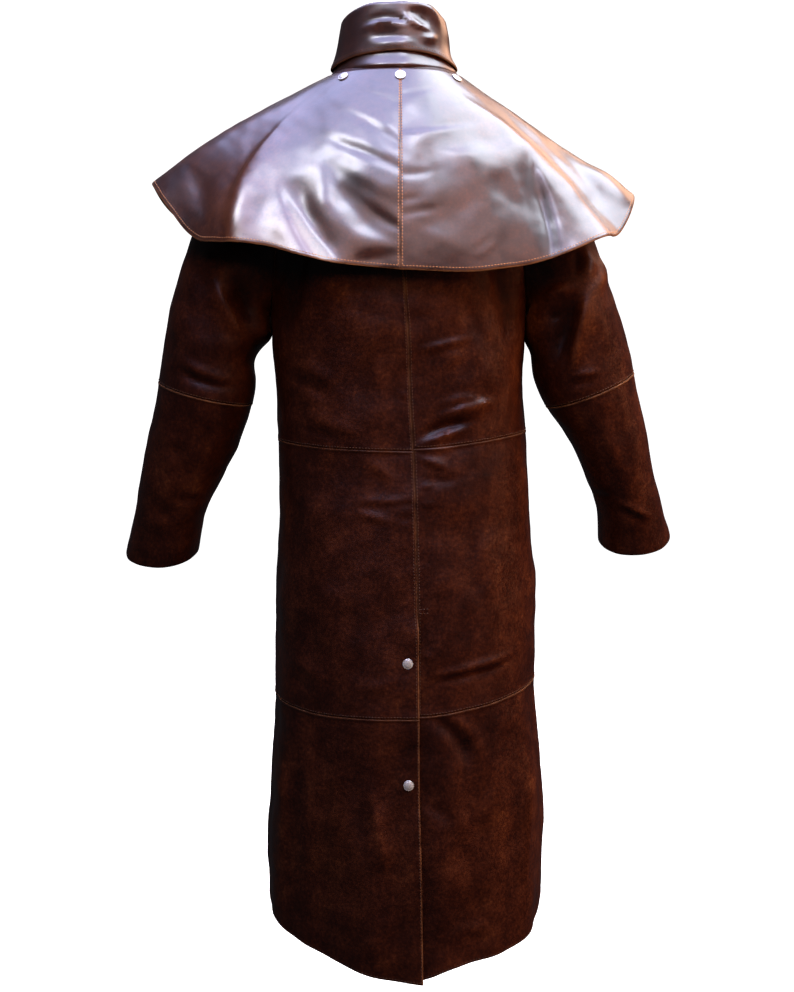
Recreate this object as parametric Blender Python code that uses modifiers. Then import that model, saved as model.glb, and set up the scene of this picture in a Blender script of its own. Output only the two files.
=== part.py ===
"""Full-length leather duster coat with a snapped-on shoulder cape, filled out as if worn.

Frame: +Z up, the back of the coat faces +Y, the wearer's left is +X.
The origin is inside the neck, level with the seam between the coat and its collar.
"Angle" goes round the coat: 0 at the centre back, +90 degrees at the wearer's left side.
"""
import math
from collections import namedtuple

import bpy
import numpy as np
from mathutils import Vector

MM = 0.001
THICKNESS = 1.5 * MM          # one layer of leather
SEAM_GAP = 0.3 * MM           # between two sewn pieces
LAYER_GAP = 0.5 * MM          # between two layers that lie on each other

NECK_Z = 0.0
VENT_SHARE = 0.6              # where the back vent starts, from waist seam to knee seam

# Rows and columns of points, as shares of the way down a tier of the body
UPPER_BELOW = np.array([1, 0.66, 0.33])               # armhole to waist seam, from the seam up
UPPER_ABOVE = np.linspace(0, 1, 4)[1:]                # armhole to neck
MID_SHARES = np.array([0, 0.15, 0.3, 0.45, VENT_SHARE, 0.74, 0.87, 1])
LOWER_SHARES = np.linspace(0, 1, 6)
BACK_COLUMNS = 6              # from the vent's lap to the side seam
FRONT_COLUMNS = 5             # from the front lap to the side seam

# Heights of the waist seam, knee seam and hem in mm, on the wearer's left and right half.
# "turn" is the angle in degrees from the centre back to either side.
SeamRow = namedtuple("SeamRow", "turn waist_left waist_right knee_left knee_right hem_left hem_right")
SEAMS = [
    SeamRow(-10, -530, -526, -902, -901, -1280, -1268),
    SeamRow(10, -529, -526, -902, -900, -1269, -1266),
    SeamRow(35, -526, -518, -903, -889, -1246, -1252),
    SeamRow(50, -523, -513, -900, -881, -1229, -1243),
    SeamRow(70, -520, -509, -893, -875, -1209, -1226),
    SeamRow(90, -517, -507, -889, -872, -1201, -1214),
    SeamRow(135, -519, -513, -893, -882, -1222, -1228),
    SeamRow(195, -522, -522, -896, -896, -1240, -1240),
]

# Armhole: an oval on the side of the body
ARMHOLE_Z = -202 * MM
ARMHOLE_HALF_HEIGHT = 137 * MM
ARMHOLE_HALF_ANGLE = math.radians(27)
ARMHOLE_STEPS = 10            # rows of the body panels from its bottom to its top

# Laps: the left front lies over the right one, the left vent flap over a strip
FRONT_LAP = 30 * MM           # past the centre front, on both sides
FRONT_RAMP = 24 * MM          # over which the right front dives under the left
VENT_LAP = 46 * MM
VENT_SEWN = 12 * MM

# Body sections in mm: half widths to the left and right, depths to the back and front,
# squareness of the oval, and how far the centre back seam lies from the middle
BodyRow = namedtuple("BodyRow", "z left right back front square seam")
BODY = [
    BodyRow(15, 84, 66, 70, 78, 2.0, 0),
    BodyRow(0, 97, 80, 80, 88, 2.0, 0),
    BodyRow(-25, 123, 108, 94, 101, 2.0, 0),
    BodyRow(-50, 150, 140, 105, 112, 2.05, 0),
    BodyRow(-75, 170, 163, 114, 120, 2.15, 0),
    BodyRow(-130, 180, 175, 126, 132, 2.4, -1),
    BodyRow(-200, 184, 180, 134, 143, 2.6, -2),
    BodyRow(-280, 186, 182, 136, 149, 2.5, -5),
    BodyRow(-375, 185, 182, 134, 149, 2.4, -11),
    BodyRow(-460, 180, 181, 130, 143, 2.35, -14),
    BodyRow(-525, 178, 184, 129, 141, 2.3, -18),
    BodyRow(-620, 181, 190, 134, 143, 2.3, -21),
    BodyRow(-760, 183, 200, 144, 150, 2.25, -24),
    BodyRow(-900, 186, 202, 152, 157, 2.2, -25),
    BodyRow(-1020, 195, 212, 160, 164, 2.2, -26),
    BodyRow(-1150, 200, 216, 169, 171, 2.2, -29),
    BodyRow(-1290, 200, 216, 176, 178, 2.2, -31),
]

# Soft folds of the skirt: where round the coat (degrees), half width (degrees), height in mm
# (a minus sign is a trough), and the heights between which it comes and stays
SkirtFold = namedtuple("SkirtFold", "angle width depth top full")
SKIRT_FOLDS = [
    SkirtFold(12, 12, 5, -740, -1180),
    SkirtFold(33, 13, -5, -700, -1150),
    SkirtFold(58, 14, 6, -640, -1120),
    SkirtFold(-28, 11, -5, -720, -1020),
    SkirtFold(-56, 13, 6, -760, -1120),
    SkirtFold(104, 14, -5, -660, -1120),
    SkirtFold(132, 13, 7, -620, -1150),
    SkirtFold(-112, 14, -6, -640, -1120),
    SkirtFold(-138, 13, 6, -700, -1150),
]

# Sleeve sections in mm: the edges next to the body and away from it, as seen from behind
# and how much lower the back of the section is than its middle, where the forearm bends forward
SleeveRow = namedtuple("SleeveRow", "in_x in_z out_x out_z mid_y half_depth back_drop")
SLEEVE_LEFT = [
    SleeveRow(190, -378, 329, -318, 0, 70, 0),
    SleeveRow(211, -404, 338, -357, -1, 70, 2),
    SleeveRow(211, -436, 347, -398, -3, 69, 4),
    SleeveRow(218, -468, 354, -436, -5, 67, 7),
    SleeveRow(240, -526, 372, -508, -14, 60, 10),
    SleeveRow(266, -582, 387, -574, -27, 55, 13),
    SleeveRow(295, -638, 401, -640, -42, 51, 16),
    SleeveRow(308, -696, 418, -696, -57, 52, 19),
]
SLEEVE_RIGHT = [
    SleeveRow(188, -384, 313, -328, 0, 70, 0),
    SleeveRow(191, -408, 323, -355, -1, 70, 2),
    SleeveRow(198, -438, 334, -389, -3, 69, 4),
    SleeveRow(215, -474, 342, -422, -5, 66, 7),
    SleeveRow(251, -528, 365, -510, -14, 58, 10),
    SleeveRow(278, -580, 380, -574, -27, 53, 13),
    SleeveRow(299, -630, 395, -624, -42, 50, 16),
    SleeveRow(307, -682, 412, -670, -57, 51, 19),
]
ELBOW_ROW = 3                 # the row where upper and lower sleeve are sewn together
SLEEVE_SIDES = 2 * ARMHOLE_STEPS
CAP_STEPS = 6                 # rows of the sleeve head, from the armhole to the first section
CAP_REACH = 0.4               # how far the sleeve head keeps its direction, of its own length
CAP_SLOPE = math.radians(36)  # slope at which the sleeve leaves the armhole
UPPER_SLEEVE_ROWS = [1.6, 2.3, 3.1]   # between the first section and the elbow seam
LOWER_SLEEVE_ROWS = 7         # from the elbow seam to the cuff

FOLDS_FROM = 0.8              # row at which the folds have their full height

# Sleeve folds: place round the sleeve (degrees, 0 next to the body, 90 at the back),
# half width in degrees, place and half length along it in rows, height in mm
SleeveFold = namedtuple("SleeveFold", "side around width along length depth")
SLEEVE_FOLDS = [
    SleeveFold(1, 60, 40, 1.8, 0.7, 4),
    SleeveFold(1, 100, 50, 3.4, 0.6, -4),
    SleeveFold(1, 300, 45, 2.6, 0.8, -4),
    SleeveFold(-1, 120, 28, 0.8, 1.6, 6),
    SleeveFold(-1, 75, 24, 1.2, 1.4, -5),
    SleeveFold(-1, 300, 45, 2.6, 0.8, -4),
]

# Collar sections in mm, as for the body, and the lower edge of its turned-down fall
CollarRow = namedtuple("CollarRow", "z left right back front")
COLLAR = [
    CollarRow(0, 97, 80, 80, 88),
    CollarRow(22, 89, 68, 77, 84),
    CollarRow(52, 83, 64, 73, 80),
    CollarRow(83, 77, 58, 70, 76),
]
COLLAR_SEAM_Z = 0.8 * MM      # its lower edge leans over the coat's neck edge
COLLAR_HALF_ANGLE = math.radians(171)
COLLAR_COLUMNS = 25
STAND_ROWS = 4
FALL_HALF_ANGLE = math.radians(166)
FallRow = namedtuple("FallRow", "angle edge_z")
FALL_EDGE = [FallRow(0, 19), FallRow(40, 15), FallRow(75, 7), FallRow(120, 6), FallRow(170, 4)]
# The fall's outer face in mm: away from the stand's outer face, and above the stand's top
FALL_ROLL = [(-1.5, 1.9), (0.4, 1.9), (2.4, 1.2), (3.6, -1.4)]
FALL_STAND_OFF = 5.0 * MM     # at its lower edge
FALL_SHARES = (0.34, 0.67, 1.0)       # rows of the leaf, from the roll to the lower edge

# Cape: hem sizes in plan, and its height round the coat
CAPE_LEFT = 357 * MM
CAPE_RIGHT = 337 * MM
CAPE_BACK = 166 * MM
CAPE_FRONT = 176 * MM
CAPE_SQUARE = 2.3
CAPE_COLUMNS = 19             # of each half
CAPE_ROWS = 7
CAPE_NECK_Z = -7 * MM
CAPE_NECK_GAP = 0.7 * MM      # between the coat's shoulders and the cape's neck edge
CAPE_CROWN_LEFT = 7 * MM      # how far it rounds up between neck and hem
CAPE_CROWN_RIGHT = 1 * MM
CAPE_CROWN_BACK = 22 * MM
CAPE_END = math.radians(166)  # its two front edges
CAPE_CORNER = math.radians(20)
CAPE_CORNER_RISE = 0.22       # of its length, at the rounded front corners
CapeRow = namedtuple("CapeRow", "angle left_z right_z")
CAPE_HEM = [
    CapeRow(0, -283, -283),
    CapeRow(19, -269, -284),
    CapeRow(29, -252, -278),
    CapeRow(40, -246, -262),
    CapeRow(50, -242, -243),
    CapeRow(61, -213, -227),
    CapeRow(75, -171, -194),
    CapeRow(90, -156, -168),
    CapeRow(110, -186, -196),
    CapeRow(135, -244, -248),
    CapeRow(170, -276, -276),
]
CapeFold = namedtuple("CapeFold", "angle width depth")
CAPE_FOLDS = [
    CapeFold(27, 9, -5), CapeFold(42, 9, 6), CapeFold(58, 9, -5),
    CapeFold(-30, 9, -6), CapeFold(-47, 10, 7), CapeFold(-64, 9, -4),
    CapeFold(120, 12, 6), CapeFold(144, 12, -5), CapeFold(-120, 12, 6), CapeFold(-144, 12, -5),
]

# Press snaps: the profile of a domed cap in mm, radius and height
SNAP_PROFILE = [(0, 2.7), (3.9, 2.3), (6.5, 1.3), (7.5, 0.3), (7.5, 0), (0, 0)]
SNAP_STEPS = 14
MERGE = 1e-5                  # closes the turned profile on its axis
SNAP_SEAT = 0.4 * MM          # from the leather's face to the snap
VENT_SNAPS_Z = [-824 * MM, -995 * MM]
VENT_SNAP_INSET = 14 * MM
FRONT_SNAPS_Z = [-95 * MM, -235 * MM, -375 * MM, -515 * MM, -655 * MM]
CAPE_SNAPS = [("neck_left", 41), ("neck_back", 0), ("neck_right", -50),
              ("cape_left", 161), ("cape_right", -161)]
CAPE_SNAP_DOWN = 0.045        # from the cape's neck edge, of its length

QUARTER = math.pi / 2
SHARP_ANGLE = math.radians(40)
ROUND = 2.0                   # squareness of a plain oval
TINY = 1e-4                   # step for slopes of a surface


def clear_scene():
    for old in list(bpy.data.objects):
        bpy.data.objects.remove(old, do_unlink=True)


def make_material(name, colour, roughness, metallic):
    material = bpy.data.materials.new(name)
    material.use_nodes = True
    shader = material.node_tree.nodes["Principled BSDF"]
    shader.inputs["Base Color"].default_value = (*colour, 1)
    shader.inputs["Roughness"].default_value = roughness
    shader.inputs["Metallic"].default_value = metallic
    return material


def smooth_between(x, xs, ys):
    """Cubic curve through the table's points, with the mean slope at each of them."""
    xs, ys = np.asarray(xs, float), np.asarray(ys, float)
    if xs[0] > xs[-1]:
        xs, ys = xs[::-1], ys[::-1]
    slope = np.gradient(ys, xs)
    x = np.clip(x, xs[0], xs[-1])
    i = np.clip(np.searchsorted(xs, x, side="right") - 1, 0, len(xs) - 2)
    step = xs[i + 1] - xs[i]
    t = (x - xs[i]) / step
    rise = ys[i + 1] - ys[i]
    a = slope[i] * step - rise
    b = rise - slope[i + 1] * step
    return ys[i] + t * rise + t * (1 - t) * (a * (1 - t) + b * t)


def column(rows, name):
    return [getattr(row, name) for row in rows]


def ease(x):
    x = np.clip(x, 0, 1)
    return x * x * (3 - 2 * x)


def bump(x):
    """A soft hill of height 1 at 0 that ends at -1 and 1."""
    return np.where(np.abs(x) < 1, np.cos(QUARTER * np.clip(x, -1, 1)) ** 2, 0.0)


def oval(angle, left, right, back, front, square):
    """A point of a squared oval whose four half axes may differ."""
    sine, cosine = np.sin(angle), np.cos(angle)
    scale = (np.abs(sine) ** square + np.abs(cosine) ** square) ** (-1 / square)
    x = np.where(sine >= 0, left, right) * sine * scale
    y = np.where(cosine >= 0, back, front) * cosine * scale
    return x, y


def body_column(name, z):
    return smooth_between(z / MM, column(BODY, "z"), column(BODY, name)) * MM


def body_surface(angle, z):
    """The outer face of the coat's body at an angle and a height."""
    angle, z = np.broadcast_arrays(np.asarray(angle, float), np.asarray(z, float))
    square = body_column("square", z) / MM
    sizes = [body_column(name, z) for name in ("left", "right", "back", "front")]
    x, y = oval(angle, *sizes, square)
    swell = np.zeros_like(z)
    for fold in SKIRT_FOLDS:
        turn = np.remainder(np.degrees(angle) - fold.angle + 180, 360) - 180
        come = ease((fold.top - z / MM) / (fold.top - fold.full))
        swell = swell + fold.depth * MM * bump(turn / fold.width) * come
    reach = np.hypot(x, y)
    return np.stack([x * (1 + swell / reach), y * (1 + swell / reach), z], -1)


def outward(surface, u, v, step_v=TINY):
    """Unit normals of surface(u, v), from its slopes."""
    along_u = surface(u + TINY, v) - surface(u - TINY, v)
    along_v = surface(u, v + step_v) - surface(u, v - step_v)
    normal = np.cross(along_v, along_u)
    return normal / np.linalg.norm(normal, axis=-1, keepdims=True)


def body_layer(angle, z, depth):
    """A point below the body's outer face by a depth."""
    normal = outward(body_surface, angle, z)
    return body_surface(angle, z) - normal * np.asarray(depth)[..., None]


def seam_angle(z):
    """Angle of the centre back seam, which drifts to the wearer's right down the coat."""
    return np.arcsin(body_column("seam", z) / body_column("right", z))


def seam_z(seam, side, angle):
    """Height of the waist seam, the knee seam or the hem at an angle, on one half of the coat."""
    name = f"{seam}_left" if side > 0 else f"{seam}_right"
    return smooth_between(side * np.degrees(angle), column(SEAMS, "turn"), column(SEAMS, name)) * MM


def armhole(u, side):
    """Angle and height on the armhole; u is 0 at its bottom and a quarter turn at its back."""
    angle = side * (QUARTER - ARMHOLE_HALF_ANGLE * np.sin(u))
    return angle, ARMHOLE_Z - ARMHOLE_HALF_HEIGHT * np.cos(u)


def shell(name, outer, inner, material, closed=False):
    """A closed wall between two grids of points, open at its sides unless they close round."""
    rows, columns = outer.shape[:2]
    points = np.concatenate([outer.reshape(-1, 3), inner.reshape(-1, 3)])
    half = rows * columns
    faces = []

    def corner(row, col):
        return row * columns + col % columns

    across = columns if closed else columns - 1
    for row in range(rows - 1):
        for col in range(across):
            quad = [corner(row, col), corner(row, col + 1), corner(row + 1, col + 1), corner(row + 1, col)]
            faces.append(quad)
            faces.append([half + quad[0], half + quad[3], half + quad[2], half + quad[1]])
    edges = []
    for col in range(across):
        edges.append((corner(0, col), corner(0, col + 1)))
        edges.append((corner(rows - 1, col + 1), corner(rows - 1, col)))
    if not closed:
        for row in range(rows - 1):
            edges.append((corner(row + 1, 0), corner(row, 0)))
            edges.append((corner(row, columns - 1), corner(row + 1, columns - 1)))
    for first, second in edges:
        faces.append([second, first, half + first, half + second])
    mesh = bpy.data.meshes.new(name)
    mesh.from_pydata(points.tolist(), [], faces)
    mesh.materials.append(material)
    mesh.shade_smooth()
    mesh.set_sharp_from_angle(angle=SHARP_ANGLE)
    item = bpy.data.objects.new(name, mesh)
    PARTS.objects.link(item)
    return item


def wall(name, surface, u, v, material, closed=False, depth=0.0, step_v=TINY):
    """A wall of the leather's thickness under a surface, or deeper under it by a depth."""
    normal = outward(surface, u, v, step_v)
    outer = surface(u, v) - normal * np.asarray(depth)[..., None]
    return shell(name, outer, outer - normal * THICKNESS, material, closed)


def spread(start, laps, end, count):
    """Columns of a panel: some at fixed distances from its first edge, then even steps."""
    near = np.concatenate([start + lap for lap in laps], 1)
    last = near[:, -1:]
    far = last + (end - last) * np.linspace(0, 1, count + 1)[1:]
    return np.concatenate([near, far], 1)


def side_edge(z, side, sign):
    """The panel's edge at the side seam, the shoulder seam or the armhole.

    sign is +1 on the back panels and -1 on the front ones.
    """
    level = np.clip((ARMHOLE_Z - z) / ARMHOLE_HALF_HEIGHT, -1, 1)
    opening = ARMHOLE_HALF_ANGLE * np.sqrt(1 - level ** 2)
    depth = body_column("back" if sign > 0 else "front", z)
    return side * (QUARTER - sign * (opening + SEAM_GAP / 2 / depth))


def armhole_rows():
    """Heights of the rows from the bottom of the armhole to its top."""
    turn = np.linspace(0, math.pi, ARMHOLE_STEPS + 1)
    return ARMHOLE_Z - ARMHOLE_HALF_HEIGHT * np.cos(turn)


def tier_heights(tier, side, angle):
    """Heights of all the points of a panel whose angles are known, row by row from its top."""
    half = SEAM_GAP / 2
    if tier == "upper":
        low, high = armhole_rows()[[0, -1]]
        waist = seam_z("waist", side, angle[-1]) + half
        above = high + (NECK_Z - high) * UPPER_ABOVE[::-1, None] + 0 * waist
        beside = armhole_rows()[::-1, None] + 0 * waist
        below = low + (waist - low) * UPPER_BELOW[::-1, None]
        return np.concatenate([above, beside, below])
    top, bottom, shares = ("waist", "knee", MID_SHARES) if tier == "mid" else ("knee", "hem", LOWER_SHARES)
    start = seam_z(top, side, angle) - half
    end = seam_z(bottom, side, angle) + (half if tier == "mid" else 0)
    return start + (end - start) * shares[:, None]


def tier_guide(tier):
    """Mean height of each row of a tier, for the widths that its columns are spaced by."""
    waist, knee, hem = (np.mean([getattr(SEAMS[1], f"{seam}_{side}") for side in ("left", "right")]) * MM
                        for seam in ("waist", "knee", "hem"))
    if tier == "upper":
        rows = armhole_rows()
        below = rows[0] + (waist - rows[0]) * UPPER_BELOW
        above = rows[-1] + (NECK_Z - rows[-1]) * UPPER_ABOVE
        return np.concatenate([below, rows, above])[::-1, None]
    if tier == "mid":
        return (waist + (knee - waist) * MID_SHARES)[:, None]
    return (knee + (hem - knee) * LOWER_SHARES)[:, None]


def panel_angles(tier, part, side):
    """Angles of a panel's columns, starting at the centre back or the centre front."""
    guide = tier_guide(tier)
    width = body_column("right", guide)
    if part == "back":
        start = seam_angle(guide) + side * SEAM_GAP / 2 / width
        laps = [side * lap / width for lap in (0, VENT_SEWN, VENT_LAP)]
        return spread(start, laps, side_edge(guide, side, 1), BACK_COLUMNS)
    start = side * (math.pi + FRONT_LAP / width)
    laps = [-side * lap / width for lap in (0, FRONT_LAP, 2 * FRONT_LAP, 2 * FRONT_LAP + FRONT_RAMP)]
    return spread(start, laps, side_edge(guide, side, -1), FRONT_COLUMNS)


def make_body(leather):
    """Four panels in each of three tiers: back and front, left and right."""
    for tier in ("upper", "mid", "lower"):
        for side, side_name in ((1, "left"), (-1, "right")):
            for part in ("back", "front"):
                angle = panel_angles(tier, part, side)
                z = tier_heights(tier, side, angle)
                depth = np.zeros_like(angle)
                if part == "front" and side < 0:
                    depth[:, :3] = THICKNESS + LAYER_GAP
                if (side > 0) != (part == "back"):
                    angle, z, depth = angle[:, ::-1], z[:, ::-1], depth[:, ::-1]
                wall(f"{part}_{tier}_{side_name}", body_surface, angle, z, leather, depth=depth)


def make_vent(leather):
    """The strip behind the back vent, sewn to the right panels and lying under the left ones."""
    guide = np.concatenate([tier_guide("mid")[MID_SHARES >= VENT_SHARE][:-1], tier_guide("lower")])
    width = body_column("right", guide)
    laps = (-VENT_SEWN, 0, VENT_SEWN, VENT_LAP)
    angle = np.concatenate([seam_angle(guide) + lap / width for lap in laps], 1)
    waist, knee, hem = (seam_z(seam, -1, angle) for seam in ("waist", "knee", "hem"))
    count = len(guide) - len(LOWER_SHARES)
    z = np.empty_like(angle)
    shares = MID_SHARES[MID_SHARES >= VENT_SHARE][:-1, None]
    z[:count] = waist[:count] + (knee - waist)[:count] * shares
    z[count:] = knee[count:] + (hem - knee)[count:] * LOWER_SHARES[:, None]
    wall("vent_underlap", body_surface, angle, z, leather, depth=np.full_like(angle, THICKNESS + LAYER_GAP))


def sleeve_surface(rows, side):
    """Outer face of a sleeve: u round it, v from 0 at the armhole through 1 at the first section."""
    numbers = np.arange(1, len(rows) + 1)

    def section(u, v):
        values = {name: smooth_between(v, numbers, column(rows, name)) * MM for name in SleeveRow._fields}
        swing = -np.cos(u)
        x = (values["in_x"] + values["out_x"]) / 2 + swing * (values["out_x"] - values["in_x"]) / 2
        z = (values["in_z"] + values["out_z"]) / 2 + swing * (values["out_z"] - values["in_z"]) / 2
        y = values["mid_y"] + np.sin(u) * values["half_depth"]
        z = z - np.sin(u) * values["back_drop"]
        middle = np.stack([side * (values["in_x"] + values["out_x"]) / 2, values["mid_y"],
                           (values["in_z"] + values["out_z"]) / 2], -1)
        return np.stack([side * x, y, z], -1), middle

    def surface(u, v):
        u, v = np.broadcast_arrays(np.asarray(u, float), np.asarray(v, float))
        points, middle = section(u, np.maximum(v, 1))
        first, first_middle = section(u, np.ones_like(v))
        angle, z = armhole(u, side)
        leave = np.array([side * math.cos(CAP_SLOPE), 0, -math.sin(CAP_SLOPE)])
        start = body_layer(angle, z, np.full_like(z, -SEAM_GAP)) + leave * SEAM_GAP
        length = np.linalg.norm(first - start, axis=-1, keepdims=True)
        arrive = section(u, np.full_like(v, 1.1))[0] - first
        arrive = arrive / np.linalg.norm(arrive, axis=-1, keepdims=True)
        t = np.clip(v, 0, 1)[..., None]
        bend_out = start + leave * length * CAP_REACH
        bend_in = first - arrive * length * CAP_REACH
        cap = ((1 - t) ** 3 * start + 3 * t * (1 - t) ** 2 * bend_out
               + 3 * t ** 2 * (1 - t) * bend_in + t ** 3 * first)
        points = np.where(v[..., None] < 1, cap, points)
        swell = np.zeros_like(v)
        for fold in SLEEVE_FOLDS:
            if fold.side == side:
                turn = np.remainder(np.degrees(u) - fold.around + 180, 360) - 180
                here = bump(turn / fold.width) * bump((v - fold.along) / fold.length)
                swell = swell + fold.depth * MM * here
        swell = swell * ease(v / FOLDS_FROM)
        ray = points - np.where(v[..., None] < 1, first_middle, middle)
        return points + ray / np.linalg.norm(ray, axis=-1, keepdims=True) * swell[..., None]

    return surface


def make_sleeves(leather):
    """Upper and lower sleeves, sewn together near the elbow."""
    around = np.linspace(0, 2 * math.pi, SLEEVE_SIDES + 1)[:-1]
    for side, side_name, rows in ((1, "left", SLEEVE_LEFT), (-1, "right", SLEEVE_RIGHT)):
        surface = sleeve_surface(rows, side)
        elbow = ELBOW_ROW + 1
        half_gap = SEAM_GAP / 2 / (abs(rows[ELBOW_ROW].in_z - rows[ELBOW_ROW - 1].in_z) * MM)
        upper = np.concatenate([np.linspace(0, 1, CAP_STEPS + 1), UPPER_SLEEVE_ROWS, [elbow - half_gap]])
        lower = np.linspace(elbow + half_gap, len(rows), LOWER_SLEEVE_ROWS)
        for part, along in (("upper", upper), ("lower", lower)):
            u, v = np.meshgrid(around[::side], along)
            outer = surface(u, v)
            inner = outer - side * sleeve_normals(surface, u, v) * THICKNESS
            shell(f"sleeve_{part}_{side_name}", outer, inner, leather, closed=True)


def sleeve_normals(surface, u, v):
    """Normals that stay on the sleeve at both of its ends."""
    low, high = np.maximum(v - TINY, 0), v + TINY
    along_u = surface(u + TINY, v) - surface(u - TINY, v)
    along_v = surface(u, high) - surface(u, low)
    normal = np.cross(along_u, along_v)
    return normal / np.linalg.norm(normal, axis=-1, keepdims=True)


def stand_surface(angle, z):
    """Outer face of the collar's stand."""
    sizes = [smooth_between(z / MM, column(COLLAR, "z"), column(COLLAR, name)) * MM
             for name in ("left", "right", "back", "front")]
    x, y = oval(angle, *sizes, ROUND)
    return np.stack([x, y, np.broadcast_to(z, x.shape)], -1)


def make_collar(leather):
    """A stand round the neck and a fall that rolls over its top edge."""
    top = COLLAR[-1].z * MM
    around = np.linspace(-COLLAR_HALF_ANGLE, COLLAR_HALF_ANGLE, COLLAR_COLUMNS)
    angle, z = np.meshgrid(around, np.linspace(top, COLLAR_SEAM_Z, STAND_ROWS))
    wall("collar_stand", stand_surface, angle, z, leather)

    around = np.linspace(-FALL_HALF_ANGLE, FALL_HALF_ANGLE, COLLAR_COLUMNS)
    turn = np.abs(np.degrees(around))
    edge = smooth_between(turn, column(FALL_EDGE, "angle"), column(FALL_EDGE, "edge_z")) * MM
    path = []
    for away, above in FALL_ROLL:
        path.append((np.full_like(around, away * MM), np.full_like(around, top + above * MM)))
    leaf_top = top + FALL_ROLL[-1][1] * MM
    for share in FALL_SHARES:
        away = FALL_ROLL[-1][0] * MM * (1 - share) + FALL_STAND_OFF * share
        path.append((np.full_like(around, away), leaf_top + (edge - leaf_top) * share))
    outer = []
    for away, height in path:
        level = np.minimum(height, top)
        normal = outward(stand_surface, around, level)
        flat = normal * np.array([1, 1, 0])
        flat = flat / np.linalg.norm(flat, axis=-1, keepdims=True)
        point = stand_surface(around, level) + flat * away[:, None]
        point[:, 2] = height
        outer.append(point)
    outer = np.array(outer)
    normal = np.cross(np.gradient(outer, axis=1), np.gradient(outer, axis=0))
    normal = normal / np.linalg.norm(normal, axis=-1, keepdims=True)
    shell("collar_fall", outer, outer - normal * THICKNESS, leather)


def cape_surface(angle, share):
    """Outer face of the cape: share runs from its neck edge to its hem."""
    angle, share = np.broadcast_arrays(np.asarray(angle, float), np.asarray(share, float))
    above = np.full_like(angle, CAPE_NECK_GAP + THICKNESS)
    neck = body_layer(angle, np.full_like(angle, CAPE_NECK_Z), -above)
    x, y = oval(angle, CAPE_LEFT, CAPE_RIGHT, CAPE_BACK, CAPE_FRONT, CAPE_SQUARE)
    turn = np.degrees(angle)
    left_z, right_z = (smooth_between(np.abs(turn), column(CAPE_HEM, "angle"), column(CAPE_HEM, name)) * MM
                       for name in ("left_z", "right_z"))
    hem = np.stack([x, y, np.where(turn >= 0, left_z, right_z)], -1)
    side_crown = np.where(turn >= 0, CAPE_CROWN_LEFT, CAPE_CROWN_RIGHT)
    crown = side_crown + (CAPE_CROWN_BACK - side_crown) * np.cos(angle) ** 2
    out = hem - neck
    flat = np.stack([x, y, np.zeros_like(x)], -1)
    flat = flat / np.linalg.norm(flat, axis=-1, keepdims=True)
    run = np.sum(out * flat, -1)
    length = np.hypot(run, out[..., 2])
    up = (flat * (-out[..., 2] / length)[..., None]
          + np.array([0, 0, 1]) * (run / length)[..., None])
    bend = (neck + hem) / 2 + up * (2 * crown)[..., None]
    s = share[..., None]
    point = (1 - s) ** 2 * neck + 2 * s * (1 - s) * bend + s ** 2 * hem
    swell = np.zeros_like(angle)
    for fold in CAPE_FOLDS:
        swell = swell + fold.depth * MM * bump((turn - fold.angle) / fold.width)
    return point + up * (swell * share ** 2)[..., None]


def make_cape(leather):
    """Two halves, sewn at the centre back and open at the front."""
    for side, side_name in ((1, "left"), (-1, "right")):
        first = SEAM_GAP / 2 / (COLLAR[0].back * MM)
        around = np.linspace(first, CAPE_END, CAPE_COLUMNS)
        turned = np.clip((around - (CAPE_END - CAPE_CORNER)) / CAPE_CORNER, 0, 1)
        last = 1 - CAPE_CORNER_RISE * (1 - np.sqrt(1 - turned ** 2))
        share = np.linspace(0, 1, CAPE_ROWS)[:, None] * last[None, :]
        angle = np.broadcast_to(around * side, share.shape)
        if side < 0:
            angle, share = angle[:, ::-1], share[:, ::-1]
        wall(f"cape_{side_name}", cape_surface, angle, share, leather, step_v=-TINY)


def make_snap(name, point, normal, metal):
    """A domed press snap standing on a face of the leather."""
    mesh = bpy.data.meshes.new(name)
    points = [(radius * MM, 0, height * MM) for radius, height in SNAP_PROFILE]
    mesh.from_pydata(points, [(i, i + 1) for i in range(len(points) - 1)], [])
    mesh.materials.append(metal)
    item = bpy.data.objects.new(name, mesh)
    PARTS.objects.link(item)
    turn = item.modifiers.new("turn", "SCREW")
    turn.steps = SNAP_STEPS
    turn.render_steps = SNAP_STEPS
    turn.use_merge_vertices = True
    turn.merge_threshold = MERGE
    item.rotation_mode = "QUATERNION"
    item.rotation_quaternion = Vector((0, 0, 1)).rotation_difference(Vector(normal))
    item.location = Vector(point) + Vector(normal) * SNAP_SEAT


def make_snaps(metal):
    for number, height in enumerate(VENT_SNAPS_Z, 1):
        z = np.array(height)
        angle = seam_angle(z) + VENT_SNAP_INSET / body_column("right", z)
        make_snap(f"snap_vent_{number}", body_surface(angle, z), outward(body_surface, angle, z), metal)
    for number, height in enumerate(FRONT_SNAPS_Z, 1):
        angle, z = np.array(math.pi), np.array(height)
        make_snap(f"snap_front_{number}", body_surface(angle, z), outward(body_surface, angle, z), metal)
    for name, degrees in CAPE_SNAPS:
        angle, share = np.radians(degrees), np.array(CAPE_SNAP_DOWN)
        normal = outward(cape_surface, angle, share, -TINY)
        make_snap(f"snap_{name}", cape_surface(angle, share), normal, metal)


clear_scene()
PARTS = bpy.data.collections.new("leather_duster_coat")
bpy.context.scene.collection.children.link(PARTS)
brown_leather = make_material("brown_leather", (0.032, 0.0105, 0.006), 0.42, 0.0)
snap_metal = make_material("snap_metal", (0.75, 0.75, 0.73), 0.25, 1.0)
make_body(brown_leather)
make_vent(brown_leather)
make_sleeves(brown_leather)
make_collar(brown_leather)
make_cape(brown_leather)
make_snaps(snap_metal)
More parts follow.
